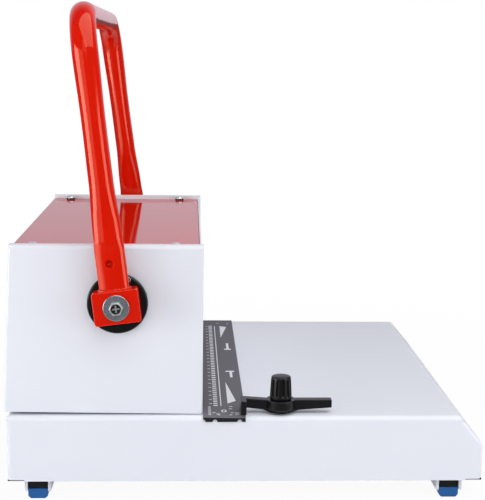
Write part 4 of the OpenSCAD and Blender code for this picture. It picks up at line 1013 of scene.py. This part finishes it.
# %% One return spring
low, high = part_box("return_springs")
wire_r, coils, rod_spacing = 0.8 * MM, 5, 32 * MM
wire_sides, turn_steps = 12, 28
coil_r = (high.x - low.x - rod_spacing) / 2 - wire_r
climb = (high.z - low.z - 2 * wire_r) / coils
bpy.ops.object.select_all(action="DESELECT")
bpy.ops.mesh.primitive_circle_add(vertices=wire_sides, radius=wire_r, location=(0, 0, 0),
                                  rotation=(math.pi / 2, 0, 0))
spring = bpy.context.object
spring.name = spring.data.name = "wound_return_springs"
bpy.ops.object.transform_apply(location=True, rotation=True, scale=True)
enter(spring)
bpy.ops.transform.translate(value=(coil_r, 0, 0))
leave()
wind = spring.modifiers.new("wind", "SCREW")
wind.axis, wind.angle, wind.screw_offset = "Z", 2 * math.pi, climb
wind.iterations, wind.steps, wind.render_steps = coils, turn_steps, turn_steps
wind.use_merge_vertices = False
bpy.ops.object.modifier_apply(modifier=wind.name)
close_ends(spring, 0.005)
print("coil radius in mm:", round(coil_r / MM, 2), "climb in mm:", round(climb / MM, 2))

# %% Four return springs
places = box_corners(low, high, coil_r + wire_r, low.z + wire_r)
set_out(spring, places, [0] * len(places))
dress(spring, tool_steel, "chassis", "tool_steel", "return_springs", smooth=60)
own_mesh(spring)
print("springs in mm:", [[round(v / MM, 1) for v in corner] for corner in (low, high)])

# %% [markdown]
# ## Scale plate and its print
# The plate is bent down over both edges of the table, and its bent ends are black, as painted shade where
# these ends stand in shadow. The marks are white ink: a comb of ticks at the hole pitch, a fine row beside
# it, a long line and four pointers that show where the sheet goes. They could be painted by nodes, but each
# mark would need its own sums. Here each
# is a flat patch 0.06 mm thick, and a row of marks is one patch repeated by an Array modifier.

# %% Scale plate
plate_ends, plate_edge_r = 176, 0.2
plate = copy_of("scale_plate", "measuring_plate", y=[-172, 172])
round_edges(plate, plate_edge_r, 2, lambda a, b: max(abs(a.y), abs(b.y)) < plate_ends, fold=50, hollows=False)
plate.data.materials.append(anodised)
# the bent ends, facing along the table, get the black as painted shade
plate.data.materials.append(black_rubber)
for face in plate.data.polygons:
    face.material_index = 1 if abs(face.normal.y) > 0.8 else 0
dress(plate, anodised, "chassis", "scale_grey", "scale_plate")

# %% Helpers for ink
plate_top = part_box("scale_plate")[1].z
plate_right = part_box("scale_plate")[1].x
ink_mm, pitch_mm = 0.06, 6.35
marks = []


def ink_patch(x0, x1, y0, y1):
    """A flat patch of ink on the plate; x is measured in mm from the plate's right edge."""
    bpy.ops.object.select_all(action="DESELECT")
    bpy.ops.mesh.primitive_cube_add(size=1, location=(plate_right + (x0 + x1) / 2 * MM, (y0 + y1) / 2 * MM,
                                                      plate_top + ink_mm / 2 * MM))
    patch = bpy.context.object
    patch.scale = (abs(x1 - x0) * MM, abs(y1 - y0) * MM, ink_mm * MM)
    bpy.ops.object.transform_apply(location=True, rotation=True, scale=True)
    marks.append(patch)
    return patch


def repeat_along(patch, count, step_mm):
    """Repeats a patch along Y."""
    pick(patch)
    row = patch.modifiers.new("row", "ARRAY")
    row.use_relative_offset, row.use_constant_offset = False, True
    row.constant_offset_displace = (0, step_mm * MM, 0)
    row.count = count
    bpy.ops.object.modifier_apply(modifier=row.name)


def point_end(patch, end_y, to_x, slant):
    """Brings one end of a patch to a point at a given x, and slants the other end."""
    enter(patch)
    select_where(patch, lambda p: abs(p.y / MM - end_y) < 0.1)
    bpy.ops.transform.resize(value=(0.03, 1, 1), center_override=(plate_right + to_x * MM, 0, 0))
    far_x = max(vert.co.x for vert in bmesh.from_edit_mesh(patch.data).verts)
    select_where(patch, lambda p: abs(p.y / MM - end_y) > 1 and abs(p.x - far_x) < 0.1 * MM)
    bpy.ops.transform.translate(value=(0, math.copysign(slant, end_y) * -MM, 0))
    leave()


# %% Ink marks
# comb at the hole pitch, fine row beside it, and long line
repeat_along(ink_patch(-26.5, -22.8, -153, -150.2), 48, pitch_mm)
repeat_along(ink_patch(-30.0, -27.4, -147, -145.8), 24, 2 * pitch_mm)
ink_patch(-20.4, -19.6, -153, 147)
# two long pointers, then two short ones of a stem and a bar
point_end(ink_patch(-14.2, -6.8, -146, -80), -80, -14.2, -8)
point_end(ink_patch(-14.3, -7.0, 95, 147), 95, -14.3, 4)
ink_patch(-9.6, -7.1, 46, 69)
ink_patch(-12, -5.2, 41.5, 46)
ink_patch(-9.3, -6.9, -62, -43)
ink_patch(-13.0, -4.8, -43, -39.4)
# small ticks round the numeral and at the far end
repeat_along(ink_patch(-31.2, -28.8, -179, -178.2), 10, 2.6)
repeat_along(ink_patch(-8.8, -5.2, -179, -178.4), 4, 2.2)
tick_x, tick_y = 2.6, 1.1
for x, y in ((-24.5, -176.5), (-23.8, -179.4), (-13.7, -179.4), (-13.5, -162), (-13.0, -155.4), (-27.6, -173.4),
             (-12.4, -173.4), (-17.6, 161), (-6.6, 158)):
    ink_patch(x, x + tick_x, y, y + tick_y)
print("ink patches:", len(marks))

# %% [markdown]
# A nought marks the near end of the scale. It is a text object made into a mesh, because its outline is then
# a clean curve.

# %% Numeral at the near end
numeral_mm, numeral_x, numeral_y = 10, -17.9, -0.168
bpy.ops.object.select_all(action="DESELECT")
bpy.ops.object.text_add(location=(0, 0, 0))
numeral = bpy.context.object
numeral.data.body = "0"
numeral.data.size = numeral_mm * MM
numeral.data.extrude = ink_mm / 2 * MM
numeral.data.align_x = numeral.data.align_y = "CENTER"
bpy.ops.object.convert(target="MESH")
numeral = bpy.context.object
enter(numeral)
bpy.ops.mesh.remove_doubles(threshold=0.001 * MM)
leave()
numeral.location = (plate_right + numeral_x * MM, numeral_y, plate_top + ink_mm / 2 * MM)
bpy.ops.object.transform_apply(location=True, rotation=True, scale=True)
marks.append(numeral)
pick(*marks)
bpy.ops.object.join()
ink = bpy.context.object
ink.name = ink.data.name = "scale_print"
dress(ink, white_ink, "chassis", "white_paint", smooth=30)
